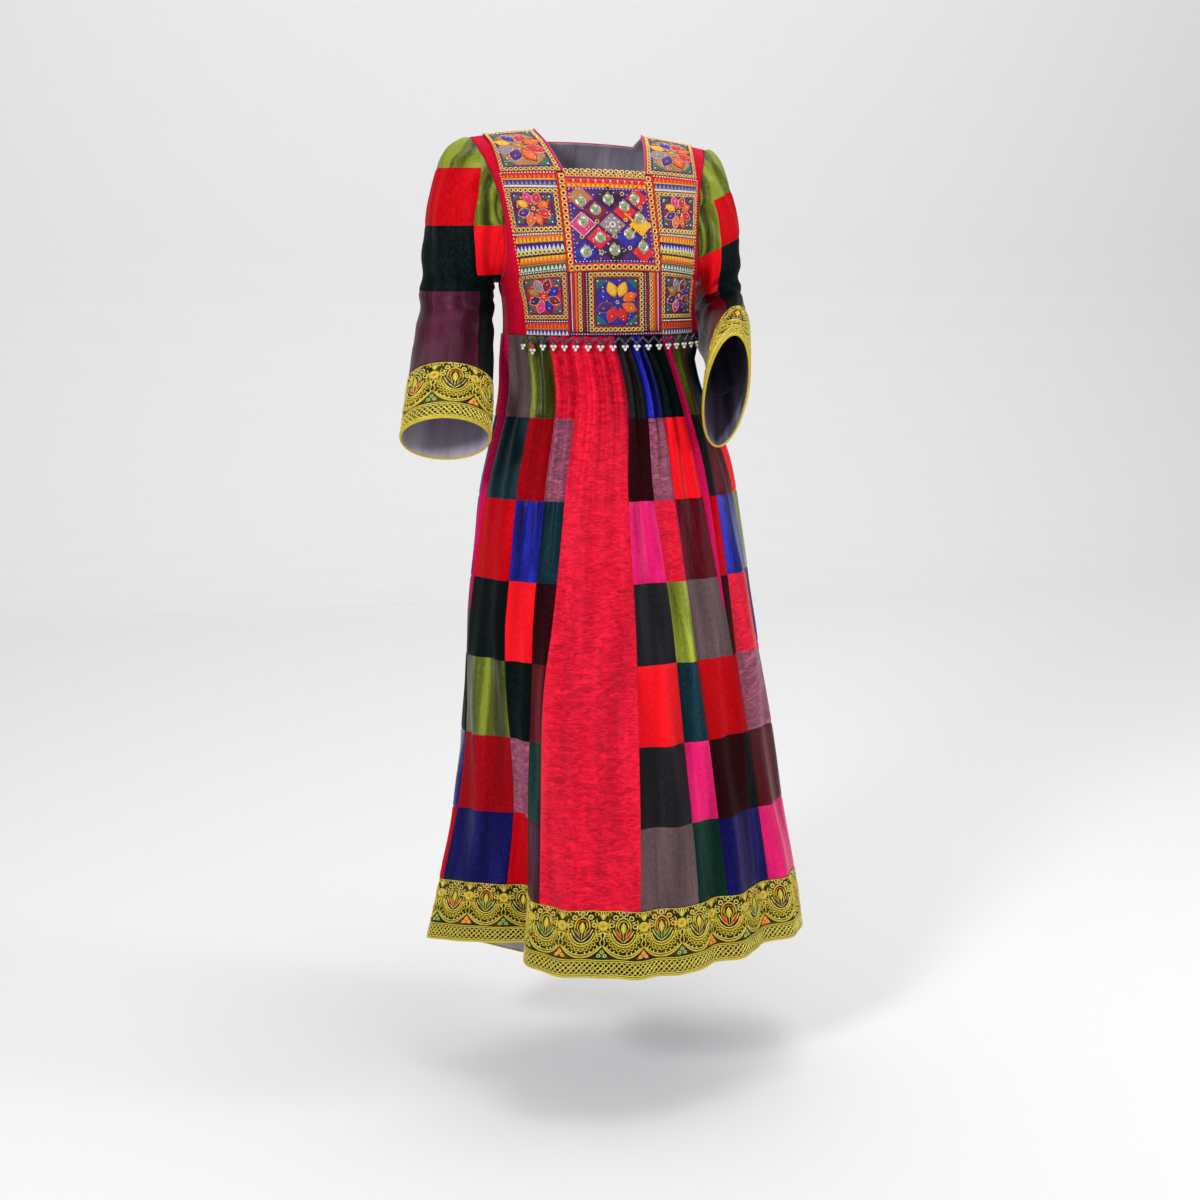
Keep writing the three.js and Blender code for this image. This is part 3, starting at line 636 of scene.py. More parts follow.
def build_gore(number):
    name, _, gathers, chart = GORES[number]
    short = name in SHORT
    patches = [PALETTE[key] for key in chart.split()]
    pieced = len(set(patches)) > 1
    levels = patch_levels()
    if short:
        levels = np.append(levels[levels < SHORT_END - 0.004], SHORT_END)
    cells_per_gather = 12
    share = np.linspace(0, 1, gathers * cells_per_gather + 1)
    share = np.unique(np.concatenate([share, [0.012, 0.03, 0.97, 0.988]]))
    t = np.repeat(levels[:, None], len(share), axis=1)
    first_edge, next_edge = gore_edge(number, t), gore_edge(number + 1, t)
    if GORES[(number + 1) % len(GORES)][0] in SHORT:
        next_edge = np.where(t > SHORT_END, gore_edge(number + 2, t), next_edge)
    angle = first_edge + (next_edge - first_edge) * share[None, :]
    source = random.Random(number + 5)
    heights = np.array([source.uniform(0.7, 1.35) for _ in range(gathers)])
    which = np.minimum((share * gathers).astype(int), gathers - 1)
    wave = -1 + heights[which][None, :] * (1 - np.cos(share * gathers * 2 * math.pi))[None, :]
    grid = skirt_points(angle, t, wave + 0 * t)
    normals = grid_normals(grid, False, 1)
    # The cloth dips at its seams and creases a little between them.
    width = np.linalg.norm(np.diff(grid, axis=1), axis=2).sum(axis=1)[:, None]
    from_side = np.minimum(share, 1 - share)[None, :] * width
    row_height = FRONT_FALL * BAND_START / PATCH_ROWS
    from_row = np.abs((t / BAND_START * PATCH_ROWS + 0.5) % 1 - 0.5) * row_height
    dip = seam_dip(from_side)
    if pieced:
        dip = dip + np.where(t < 0.02, 0, seam_dip(from_row))
    crease = np.sin(share * 5 + number)[None, :] * np.sin(t * 41 + number * 2.1) * 0.9
    grid = grid + normals * (crease * np.clip(from_side / 14, 0, 1) - dip + 0.45)[..., None]
    rows = (levels[:-1] / BAND_START * PATCH_ROWS + 1e-6).astype(int)
    cells = np.repeat(np.minimum(rows, len(patches) - 1)[:, None], len(share) - 1, axis=1)
    piece = shell(name + "_cloth", grid, normals, 1, patches + [LINING], cells)
    declare(piece, name, grid, width=float(width.max()) * MM * 1.01,
            length=longest(grid, 0) * 1.005)


for number in range(len(GORES)):
    build_gore(number)

# Hem band


def build_hem_band():
    count, rows, first_angle = 1080, 23, -113
    angle = np.repeat((first_angle + np.arange(count) * 360 / count)[None, :], rows, axis=0)
    t = np.repeat(np.linspace(BAND_START, 1, rows)[:, None], count, axis=1)
    grid = skirt_points(angle, t, 0 * t)
    grid[0] += np.array([0, 0, -2 * HALF_GAP])
    normals = grid_normals(grid, True, 1)
    piece = shell("hem_band_cloth", grid, normals, 1, [GROUND, LINING], closed=True)
    declare(piece, "hem_band", joined(grid), length=0.11)
    return grid, normals


hem_band = build_hem_band()

# Sleeves


# Grid rows and columns that the seams between a sleeve's patches follow.
SEAM_ROWS = (15, 30, 42, 50)
SEAM_COLUMN, BACK_SEAM = 28, 92
# Rings down the sleeve, and how far round it the long front seam lies there, in degrees.
SEAM_TURNS = ((0, 150), (1.5, 104), (3, 78), (5, 64), (8, 54))


def seam_height(points, slant):
    """Height that the seams between patches keep to; on the raised forearm they slant with x."""
    return points[..., 2] - slant * (points[..., 0] - 235)


def cut_to_seams(grid, heights, slant, steps):
    """Moves the columns so that one follows the long front seam, and four rows onto the other seams."""
    rows, columns = grid.shape[:2]
    closed = joined(grid)
    seam = np.interp(steps, *zip(*SEAM_TURNS)) / 360 * columns
    moved = np.empty_like(grid)
    for r in range(rows):
        source = np.interp(np.arange(columns), (0, SEAM_COLUMN, BACK_SEAM, columns),
                           (0, seam[r], BACK_SEAM, columns))
        moved[r] = resampled(closed[r], source)
    level = seam_height(moved, slant)
    result = np.empty_like(grid)
    for c in range(columns):
        places, last = [0.0], 0.0
        for height in heights:
            below = np.nonzero(level[:, c] < height)[0]
            k = int(below[0]) if len(below) else rows - 1
            place = 0.0
            if k > 0:
                place = k - 1 + (level[k - 1, c] - height) / (level[k - 1, c] - level[k, c])
            last = min(max(place, last + 1.6), rows - 6 + len(places))
            places.append(last)
        source = np.interp(np.arange(rows), (0, *SEAM_ROWS, rows - 1), (*places, rows - 1))
        result[:, c] = resampled(moved[:, c], source)
    return result


def sleeve_creases(turns, down):
    """Pleats at the cap, creases at the bend of the elbow and slack along the forearm."""
    cap = np.clip(0.55 - np.cos(turns), 0, 1)[None, :]
    pleats = 3.0 * np.sin(turns * 15 + 0.4 * down) * cap * np.exp(-(((down - 1.2) / 1.7) ** 2))
    bend = 2.4 * np.sin(down * 6.2 + 1.3 * np.sin(turns * 2)[None, :]) * np.exp(-(((down - 5.2) / 1.3) ** 2))
    slack = 2.4 * np.sin(turns * 5 + 0.8 * down) * np.clip((down - 2) / 2, 0, 1) * np.clip(8 - down, 0, 1)
    return pleats * np.clip(down / 0.5, 0, 1) + bend + slack


def build_sleeve(prefix, side, rows, cuff_rows, chart):
    """A sleeve of patches and its cuff; returns the cuff's grid and normals."""
    lining = DARK_LINING if side > 0 else LINING
    rings, turn = sleeve_rings(side, rows)
    coarse = np.stack(rings)
    grid = refined(coarse, 9, 6)
    turns = np.arange(grid.shape[1]) / grid.shape[1] * 2 * math.pi
    down = np.linspace(0, len(rings) - 1, len(grid))[:, None]
    grid = grid + grid_normals(grid, True, side) * sleeve_creases(turns, down)[..., None]
    heights, slant, names, inner_names = chart
    grid = cut_to_seams(grid, heights, slant, down[:, 0])
    normals = grid_normals(grid, True, side)
    ahead = np.roll(grid, -1, axis=1)
    level = seam_height((grid[:-1] + grid[1:] + ahead[:-1] + ahead[1:]) / 4, slant)[..., None]
    columns = np.arange(grid.shape[1])
    outer_half = (columns >= SEAM_COLUMN) & (columns < BACK_SEAM)
    outer = (level < np.array([heights[0], heights[1], heights[3]])).sum(axis=2)
    inner = len(names) + (level < np.array([heights[1], heights[2]])).sum(axis=2)
    groove = np.zeros(grid.shape[:2])
    groove[[SEAM_ROWS[0], SEAM_ROWS[1], SEAM_ROWS[3]]] = 0.8
    groove[:, [SEAM_COLUMN, BACK_SEAM]] = 0.8
    groove[:2] = 0
    grid = grid - normals * groove[..., None]
    patches = [PALETTE[key] for key in names + inner_names]
    piece = shell(prefix + "_sleeve_cloth", grid, grid_normals(grid, True, side), side, patches + [lining],
                  np.where(outer_half, outer, inner), closed=True)
    declare(piece, prefix + "_sleeve", joined(grid))
    path = np.array(cuff_rows[0][0], float) - np.array(rows[-1][0], float)
    path /= np.linalg.norm(path)
    cuff = [coarse[-1] + path * 2 * HALF_GAP] + [ring_points(row, turn) for row in cuff_rows]
    cuff = refined(np.stack(cuff), 10, 14)
    normals = grid_normals(cuff, True, side)
    piece = shell(prefix + "_cuff_cloth", cuff, normals, side, [GROUND, lining], closed=True)
    declare(piece, prefix + "_cuff", joined(cuff), length=0.112)
    return cuff, normals


# Heights of the seams, their slant, and the patches of the outer and inner half from the shoulder down.
right_chart = ((-49, -132, -203, -226), 0.0, ["olive", "red", "black_green", "plum"],
               ["olive", "bright_red", "black_green"])
left_chart = ((-70, -144, -209, -232), 0.45, ["olive", "red", "black_green", "maroon"],
              ["olive", "bright_red", "maroon"])
right_cuff = build_sleeve("right", -1, SLEEVE_RIGHT, CUFF_RIGHT, right_chart)
left_cuff = build_sleeve("left", 1, SLEEVE_LEFT, CUFF_LEFT, left_chart)

# Bodice


def bodice_grid(table, fine):
    """Rows of steps and columns of shares; the neck's and the bib's edges fall on whole columns."""
    coarse = np.array([-3, -2, -1] + SLEEVE_STEPS, float)
    pairs = zip(coarse[:-1], coarse[1:])
    steps = np.concatenate([np.linspace(a, b, fine, endpoint=False) for a, b in pairs] + [[1.0]])
    neck, bib, side = neck_share(steps), along(table, 6, steps), np.ones(len(steps))
    edges = [-side, -bib, -neck, neck, bib, side]
    counts = np.diff([0, BIB_FIRST, NECK_FIRST, NECK_LAST, BIB_LAST, BIB_LAST + BIB_FIRST])
    columns = []
    for low, high, count in zip(edges, edges[1:], counts):
        columns += [low + (high - low) * k / count for k in range(count)]
    share = np.stack(columns + [side], axis=1)
    step = np.repeat(steps[:, None], share.shape[1], axis=1)
    return steps, bodice_points(table, share, step)


def build_bodice(name, table, side, neck_step):
    steps, grid = bodice_grid(table, 5)
    normals = grid_normals(grid, False, side)
    normals[-1, :, 1] = 0
    normals /= np.linalg.norm(normals, axis=2, keepdims=True)
    keep = np.ones((grid.shape[0] - 1, grid.shape[1] - 1), bool)
    keep[steps[:-1] >= neck_step - 1e-6, NECK_FIRST:NECK_LAST] = False
    piece = shell(name + "_cloth", grid, normals, side, [PALETTE["bodice"], LINING], keep=keep)
    declare(piece, name, grid)
    return steps, grid, normals


front_steps, front_grid, front_normals = build_bodice("bodice_front", FRONT, -1, NECK_STEP)
build_bodice("bodice_back", BACK, 1, BACK_NECK_STEP)

# Bib: three panels of backing cloth that carry the embroidery

BIB_GROUND = velvet("bib_ground", (92, 16, 40), light=1.6, sheen=0.2)


def bib_surface(first, last, top_row):
    part = slice(0, top_row + 1), slice(first, last + 1)
    return front_grid[part] + front_normals[part] * BIB_OFFSET, front_normals[part]


def build_bib(name, first, last, top_row):
    grid, normals = bib_surface(first, last, top_row)
    piece = shell(name + "_cloth", grid, normals, -1, [BIB_GROUND, BIB_GROUND], thick=1.3)
    declare(piece, name, grid)


neck_row = int(np.argmin(np.abs(front_steps - NECK_STEP)))
shoulder_row = len(front_steps) - 1
build_bib("bib_centre", NECK_FIRST, NECK_LAST, neck_row)
build_bib("bib_right", BIB_FIRST, NECK_FIRST, shoulder_row)
build_bib("bib_left", NECK_LAST, BIB_LAST, shoulder_row)

# Embroidery: charts in millimetres, laid on the cloth as raised cords, padded stitches, rings and beads


class Chart:
    """Turns places on a flat chart, and heights above it, into points on a grid of the dress."""

    def __init__(self, grid, normals, closed=False, height=None):
        if closed:
            grid, normals = joined(grid), joined(normals)
        self.grid, self.normals, self.closed = grid, normals, closed
        self.u, self.v = running(grid[len(grid) // 2]), running(grid[:, grid.shape[1] // 2])
        self.round = self.u[-1]
        if not closed:
            self.u -= self.round / 2
        if height:
            self.v *= height / self.v[-1]
        middle = (len(grid) // 2, grid.shape[1] // 2)
        across = grid[middle[0], middle[1] + 1] - grid[middle]
        down = grid[middle[0] + 1, middle[1]] - grid[middle]
        self.flip = float(np.dot(np.cross(across, down), normals[middle])) < 0

    def place(self, u, v, h):
        u, v, h = np.broadcast_arrays(np.asarray(u, float), np.asarray(v, float), np.asarray(h, float))
        if self.closed:
            u = u % self.round
        c = np.interp(u, self.u, np.arange(len(self.u)))
        r = np.interp(v, self.v, np.arange(len(self.v)))
        c0 = np.minimum(c.astype(int), len(self.u) - 2)
        r0 = np.minimum(r.astype(int), len(self.v) - 2)
        fc, fr = (c - c0)[:, None], (r - r0)[:, None]
        both = []
        for data in (self.grid, self.normals):
            top = data[r0, c0] * (1 - fc) + data[r0, c0 + 1] * fc
            low = data[r0 + 1, c0] * (1 - fc) + data[r0 + 1, c0 + 1] * fc
            both.append(top * (1 - fr) + low * fr)
        hanging = np.minimum(v, 0)[:, None] * np.array([0, 0, 1.0])
        return both[0] + both[1] * h[:, None] + hanging


# Stitches begin this far inside the cloth, so that none floats.
SINK = -0.25


def circle(u, v, radius, sides):
    turn = np.arange(sides) / sides * 2 * math.pi
    return np.stack([u + radius * np.cos(turn), v + radius * np.sin(turn)], axis=1)


class Stitching:
    """Collects raised stitches of one piece."""

    def __init__(self, name, chart):
        self.name, self.chart = name, chart
        self.points, self.faces, self.index, self.materials = [], [], [], []
        self.count = 0

    def _slot(self, material):
        if material not in self.materials:
            self.materials.append(material)
        return self.materials.index(material)

    def _add(self, u, v, h, faces, material):
        points = self.chart.place(u, v, h)
        self.points.append(points)
        slot, start = self._slot(material), self.count
        for face in faces:
            face = [start + int(k) for k in face]
            self.faces.append(face[::-1] if self.chart.flip else face)
            self.index.append(slot)
        self.count += len(points)

    def cord(self, path, width, material, height=None, closed=False, base=0.0):
        """A rounded cord along a path of chart places."""
        path = np.asarray(path, float)
        n = len(path)
        if closed:
            tangent = np.roll(path, -1, axis=0) - np.roll(path, 1, axis=0)
        else:
            tangent = np.gradient(path, axis=0)
        tangent /= np.maximum(np.linalg.norm(tangent, axis=1, keepdims=True), 1e-9)
        side = np.stack([-tangent[:, 1], tangent[:, 0]], axis=1)
        height = height or width * 0.6
        profile = [(-0.5, SINK), (-0.34, base + height * 0.75), (0.0, base + height),
                   (0.34, base + height * 0.75), (0.5, SINK)]
        m = len(profile)
        at = np.concatenate([path[:, None] + side[:, None] * width * a for a, _ in profile], axis=1)
        at = at.reshape(-1, 2)
        h = np.tile([b for _, b in profile], n)
        faces = []
        for k in range(n if closed else n - 1):
            a, b = k * m, ((k + 1) % n) * m
            faces += [(a + j, b + j, b + (j + 1) % m, a + (j + 1) % m)[::-1] for j in range(m)]
        if not closed:
            faces += [tuple(range(m))[::-1], tuple((n - 1) * m + j for j in range(m))]
        self._add(at[:, 0], at[:, 1], h, faces, material)

    def ring(self, u, v, radius, width, material, height=None, sides=9, base=0.0):
        self.cord(circle(u, v, radius, sides), width, material, height, closed=True, base=base)

    def patch(self, outline, height, material, base=0.0, inner=0.62):
        """A padded, satin-stitched shape with a rounded top."""
        outline = np.asarray(outline, float)
        if np.cross(outline[1] - outline[0], outline[2] - outline[1]) < 0:
            outline = outline[::-1]
        n = len(outline)
        centre = outline.mean(axis=0)
        rings = np.concatenate([outline, outline, centre + (outline - centre) * inner, centre[None]])
        h = np.repeat([SINK, base + height * 0.4, base + height * 0.92, base + height], (n, n, n, 1))
        faces = [tuple(range(n))[::-1]]
        for level in (0, n):
            low = [(level + k, level + (k + 1) % n) for k in range(n)]
            faces += [(a, b, b + n, a + n) for a, b in low]
        faces += [(2 * n + k, 2 * n + (k + 1) % n, 3 * n) for k in range(n)]
        self._add(rings[:, 0], rings[:, 1], h, faces, material)

    def dome(self, u, v, radius, height, material, sides=8, base=0.0):
        self.patch(circle(u, v, radius, sides), height, material, base, 0.66)

    def field(self, u0, u1, v0, v1, material, height=0.35):
        """A flat filled area that follows the cloth."""
        nu, nv = max(1, int((u1 - u0) / 5)) + 1, max(1, int((v1 - v0) / 5)) + 1
        uu, vv = np.meshgrid(np.linspace(u0, u1, nu), np.linspace(v0, v1, nv))
        size = nu * nv
        u, v = np.tile(uu.ravel(), 2), np.tile(vv.ravel(), 2)
        h = np.concatenate([np.full(size, height), np.full(size, SINK)])
        faces = []
        for r in range(nv - 1):
            for c in range(nu - 1):
                a = r * nu + c
                b = a + size
                faces += [(a, a + 1, a + nu + 1, a + nu), (b + nu, b + nu + 1, b + 1, b)]
        rim = (list(range(nu)) + [r * nu + nu - 1 for r in range(1, nv)]
               + [(nv - 1) * nu + c for c in range(nu - 2, -1, -1)] + [r * nu for r in range(nv - 2, 0, -1)])
        faces += [(a, a + size, b + size, b) for a, b in zip(rim, rim[1:] + rim[:1])]
        self._add(u, v, h, faces, material)

    def bead(self, u, v, h, radius, material):
        """A small round bead, free of the cloth."""
        turn = np.arange(6) / 6 * 2 * math.pi
        us, vs, hs = [u], [v], [h - radius]
        for level in (-0.5, 0.5):
            ring = radius * math.sqrt(1 - level**2)
            us += list(u + ring * np.cos(turn))
            vs += list(v + ring * np.sin(turn))
            hs += [h + radius * level] * 6
        us.append(u)
        vs.append(v)
        hs.append(h + radius)
        faces = [(0, 1 + (k + 1) % 6, 1 + k) for k in range(6)]
        faces += [(1 + k, 1 + (k + 1) % 6, 7 + (k + 1) % 6, 7 + k) for k in range(6)]
        faces += [(7 + k, 7 + (k + 1) % 6, 13) for k in range(6)]
        self._add(us, vs, hs, faces, material)

    def bound_edge(self, radius, material):
        """A rolled cord round the lower edge of a closed band, seen from inside and outside."""
        edge, out = self.chart.grid[-1][:-1], self.chart.normals[-1][:-1]
        down = edge - self.chart.grid[-3][:-1]
        down /= np.linalg.norm(down, axis=1, keepdims=True)
        middle = edge - out * CLOTH / 2 + down * 0.3
        turns = np.arange(6) / 6 * 2 * math.pi
        points = middle[:, None] + radius * (np.cos(turns)[None, :, None] * out[:, None]
                                             + np.sin(turns)[None, :, None] * down[:, None])
        n, start, slot = len(edge), self.count, self._slot(material)
        for k in range(n):
            for j in range(6):
                a, b, ahead = k * 6, (k + 1) % n * 6, (j + 1) % 6
                face = [start + v for v in (a + j, a + ahead, b + ahead, b + j)]
                self.faces.append(face if self.chart.flip else face[::-1])
                self.index.append(slot)
        self.points.append(points.reshape(-1, 3))
        self.count += n * 6

    def finish(self):
        piece = finish_mesh(self.name, np.concatenate(self.points), self.faces, self.materials, self.index)
        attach(piece, "root")


def arc(u, v, across, down, start, end, count):
    """Part of an oval round u, v; angles count from the top."""
    turn = np.radians(np.linspace(start, end, count))
    return np.stack([u + across * np.sin(turn), v - down * np.cos(turn)], axis=1)


def lens(a, b, width, count=5):
    """The outline of a leaf between two points."""
    a, b = np.array(a, float), np.array(b, float)
    along_it = b - a
    side = np.array([-along_it[1], along_it[0]]) / np.linalg.norm(along_it)
    t = np.linspace(0, 1, count + 2)
    bulge = np.sin(t * math.pi)[:, None] * side * width / 2
    middle = a + along_it * t[:, None]
    return np.concatenate([middle + bulge, (middle - bulge)[-2:0:-1]])


# Gold bands

MOTIF_WIDTH, BAND_CHART_HEIGHT = 68, 105
LEAVES = ["green", "plum", "red"]
DOTS = ["red", "plum", "olive"]
# Width, metal and places of the cords that stand on both sides of a palmette.
STEMS = [
    (1.8, PALE_GOLD, [(0.6, 49.5), (7, 44.5), (13, 38), (17.5, 30)]),
    (1.6, GOLD, [(3, 43), (8, 36), (13.5, 29.5)]),
    (2.2, GOLD, [(21, 33), (23.5, 27), (24.6, 20), (22.5, 13)]),
    (1.9, PALE_GOLD, [(33.4, 33), (30.4, 38), (32.6, 44), (30, 50)]),
    (1.5, GOLD, [(4.5, 44), (4.8, 35), (8.6, 27), (6.5, 20)]),
    (2.0, GOLD, [(33.2, 13.5), (29.5, 8), (25, 2.5)]),
    (1.8, PALE_GOLD, [(33.6, 13.5), (31.7, 7), (29.5, 1.5)]),
    (1.8, GOLD, [(24, 33), (27.5, 31), (30.2, 35), (32, 42)]),
]
# Width, metal, centre, reach across and down, angles and number of points of its small hooks.
HOOKS = [
    (1.8, GOLD, 23.2, 5.4, 3.0, 3.0, -150, 130, 7),
    (1.7, PALE_GOLD, 10.5, 2.6, 2.4, 2.0, -120, 120, 5),
    (1.7, GOLD, 27.5, 40.5, 3.4, 3.4, -160, 120, 8),
]
SHORT_STITCHES = [(31.5, 54.5), (26.5, 58.5), (21.5, 63.5), (15.5, 67.8), (8, 70.2)]


def band_motif(work, x, wide, k):
    """One repeat of the band: a palmette over a double wave, and a scroll beside it."""
    def at(points):
        points = np.array(points, float)
        points[:, 0] = x + points[:, 0] * wide
        return points

    def spoke(v, across, down, angle):
        return arc(0, v, across, down, angle, angle, 1)[0].tolist()

    half = MOTIF_WIDTH / 2
    for angle in (-84, -43, 0, 43, 84):
        place = at([spoke(25, 19.5, 19.5, angle)])[0]
        work.ring(*place, 3.3, 1.9, PALE_GOLD, sides=10)
        work.dome(*place, 2.6, 1.2, THREADS[DOTS[k * 2 % 3]], sides=7)
    work.cord(at(arc(0, 26, 12.5, 15, -100, 100, 13)), 2.6, GOLD)
    for angle in (-68, -22, 22, 68):
        work.cord(at([spoke(25, 15.5, 18, angle), spoke(25, 21.5, 24.5, angle)]), 2.0, PALE_GOLD)
    work.cord(at(arc(0, 27, 9.4, 11.4, -85, 85, 9)), 1.5, THREADS["orange"] if k % 2 else PALE_GOLD)
    work.patch(at(lens((0, 18), (0, 38), 9.5)), 1.5, GOLD)
    work.cord(at([(0, 19), (0, 46)]), 1.4, PALE_GOLD, height=1.7)
    for side in (-1, 1):
        work.patch(at(lens((side * 1.6, 48), (side * 15.5, 31.5), 6.2)), 1.3, THREADS[LEAVES[k % 3]])
        for width, metal, places in STEMS:
            work.cord(at([(side * u, v) for u, v in places]), width, metal)
        for width, metal, u, *rest in HOOKS:
            work.cord(at(arc(side * u, *rest)), width, metal)
        for u, v in SHORT_STITCHES:
            work.cord(at([(side * u, v), (side * (u - 1.6), v - 4.2)]), 2.0, GOLD if u > 20 else PALE_GOLD)
        turns = [(a, 7.5 * (1 - a / 9)) for a in np.linspace(0, 3.1, 6)]
        scroll = [(side * (half - reach * math.sin(a)), 25 - reach * math.cos(a)) for a, reach in turns]
        work.cord(at(scroll), 2.2, GOLD)
        # The double wave has its peak between two palmettes.
        wave = [(side * u, 74.5 - 20.5 * (u / half) ** 2.2) for u in np.linspace(0, 33.2, 8)]
        work.cord(at(wave), 3.0, GOLD)
        work.cord(at([(u, v - 3.6) for u, v in wave[:-1]]), 1.7, PALE_GOLD)
    work.cord(at([(half, 14), (half, 1)]), 2.0, PALE_GOLD)
    for radius, metal in ((7.4, GOLD), (4.9, PALE_GOLD), (2.7, GOLD)):
        work.ring(x + half * wide, 24, radius, 2.1, metal, sides=12)
    work.dome(x + half * wide, 24, 1.9, 1.4, THREADS["orange"], sides=7)
    work.cord(at(arc(0, 27, 24, 30, 100, 260, 15)), 3.0, GOLD)
    work.cord(at(arc(0, 27, 20.3, 26.2, 108, 252, 13)), 2.0, PALE_GOLD)
    for angle in np.linspace(108, 252, 11):
        work.ring(*at([spoke(27, 28.8, 35.6, angle)])[0], 2.7, 1.9, GOLD, sides=8)
    filling = THREADS["green" if k % 2 else "orange"]
    work.patch(at([(half, 59), (half + 11, 74.5), (half - 11, 74.5)]), 0.7, filling, inner=0.8)
    for across, v in ((0, 65), (-5, 71), (5, 71)):
        work.ring(x + (half + across) * wide, v, 2.2, 1.3, PALE_GOLD, sides=8, base=0.5)


def band_border(work, repeats):
    """Long cords above and below, and the lattice between them with a bead in each eye."""
    steps, crossings = repeats * 20, repeats * 8
    u = np.arange(steps) / steps * work.chart.round
    for v, width, metal in ((0.9, 1.6, GOLD), (78.4, 2.2, GOLD), (81.2, 1.5, PALE_GOLD),
                            (101.3, 1.8, PALE_GOLD), (104, 2.4, GOLD)):
        work.cord(np.stack([u, np.full(steps, v)], axis=1), width, metal, closed=True)
    pitch = work.chart.round / crossings
    for k in range(crossings):
        for side, metal, height in ((-1, PALE_GOLD, 1.5), (1, GOLD, 1.1)):
            path = [(pitch * (k + side * share * 2), 82.6 + 17.4 * share) for share in np.linspace(0, 1, 5)]
            work.cord(path, 1.9, metal, height=height)
        work.dome((k + 0.5) * pitch, 91.3, 1.2, 0.9, THREADS["black"] if k % 2 else GOLD, sides=6)


def embroider_band(name, grid, normals, repeats):
    work = Stitching(name, Chart(grid, normals, closed=True, height=BAND_CHART_HEIGHT))
    repeat = work.chart.round / repeats
    for k in range(repeats):
        band_motif(work, (k + 0.5) * repeat, repeat / MOTIF_WIDTH, k)
    band_border(work, repeats)
    work.bound_edge(1.7, GOLD)
    work.finish()


embroider_band("hem_embroidery", *hem_band, 28)
embroider_band("right_cuff_embroidery", *right_cuff, 6)
embroider_band("left_cuff_embroidery", *left_cuff, 6)

# Bib embroidery

bib_chart = Chart(*bib_surface(BIB_FIRST, BIB_LAST, shoulder_row))
threads = Stitching("bib_threads", bib_chart)
metals = Stitching("bib_metals", bib_chart)
picker = random.Random(41)
EDGE = bib_chart.round / 2 - 1.5
NECK_V = float(bib_chart.v[neck_row])
BIB_TOP = float(bib_chart.v[-1])
SCATTERED = [WHITE_BEAD, DARK_BEAD, RED_BEAD, BRASS]


def bar(u0, u1, v0, v1, name, height=0.7):
    """A band of thread along the longer side of a rectangle."""
    if u1 - u0 >= v1 - v0:
        middle = (v0 + v1) / 2
        ends, length, width = ((u0, middle), (u1, middle)), u1 - u0, v1 - v0
    else:
        middle = (u0 + u1) / 2
        ends, length, width = ((middle, v0), (middle, v1)), v1 - v0, u1 - u0
    threads.cord(np.linspace(*ends, max(2, int(length / 6))), width, THREADS[name], height)


def spaced(a, b, pitch):
    """The middles of equal steps between two places."""
    a, b = np.array(a, float), np.array(b, float)
    count = max(1, int(round(np.linalg.norm(b - a) / pitch)))
    return [a + (b - a) * (k + 0.5) / count for k in range(count)]


def row_of_rings(a, b, radius=2.6, pitch=6.9, metal=BRASS, centre="black"):
    for u, v in spaced(a, b, pitch):
        metals.ring(u, v, radius, radius * 0.68, metal, base=0.5, height=1.3)
        threads.dome(u, v, radius * 0.62, 0.6, THREADS[centre], sides=6, base=0.5)


def row_of_beads(a, b, radius, pitch, beads, base=0.5):
    for k, (u, v) in enumerate(spaced(a, b, pitch)):
        metals.dome(u, v, radius, radius * 1.1, beads[k % len(beads)], sides=6, base=base)


def scatter(count, u0, u1, v0, v1, beads, base):
    for _ in range(count):
        u, v = picker.uniform(u0, u1), picker.uniform(v0, v1)
        metals.dome(u, v, 1.0, 1.0, picker.choice(beads), sides=5, base=base)


def subdivided(loop, step=6.0):
    points = []
    for a, b in zip(loop, loop[1:] + loop[:1]):
        a, b = np.array(a, float), np.array(b, float)
        count = max(1, int(np.linalg.norm(b - a) / step))
        points += [a + (b - a) * j / count for j in range(count)]
    return np.array(points)


def frame_cord(u0, u1, v0, v1, width, name, height=None):
    corners = [(u0, v0), (u1, v0), (u1, v1), (u0, v1)]
    threads.cord(subdivided(corners), width, THREADS[name], height, closed=True)


def zigzag(u0, u1, v0, v1, pitch, upper, lower):
    """Two rows of padded triangles that fit into each other."""
    count = max(1, int(round((u1 - u0) / pitch)))
    step = (u1 - u0) / count
    for k in range(count):
        u = u0 + k * step
        threads.patch([(u, v0), (u + step, v0), (u + step / 2, v1 - 0.4)], 1.1, THREADS[lower], inner=0.5)
        right = min(u + 1.5 * step, u1)
        hanging = [(u + step, v0 + 0.4), (right, v1), (u + step / 2, v1)]
        threads.patch(hanging, 1.1, THREADS[upper], inner=0.5)


def flower(u, v, reach, petals, names, outline="white"):
    for k in range(petals):
        angle = k / petals * 2 * math.pi + 0.39
        ahead = np.array([math.cos(angle), math.sin(angle)]) * reach
        shape = lens((u, v) + ahead * 0.22, (u, v) + ahead, reach * 0.47)
        threads.patch(shape, 1.7, THREADS[names[k % len(names)]], base=0.3)
        threads.cord(shape, 0.9, THREADS[outline if k % 3 else "maroon"], height=1.3, closed=True, base=0.3)
        metals.dome(*((u, v) + ahead * 0.68), 0.9, 0.9, WHITE_BEAD, sides=6, base=1.8)
    metals.ring(u, v, 2.2, 1.3, BRASS, base=1.0)


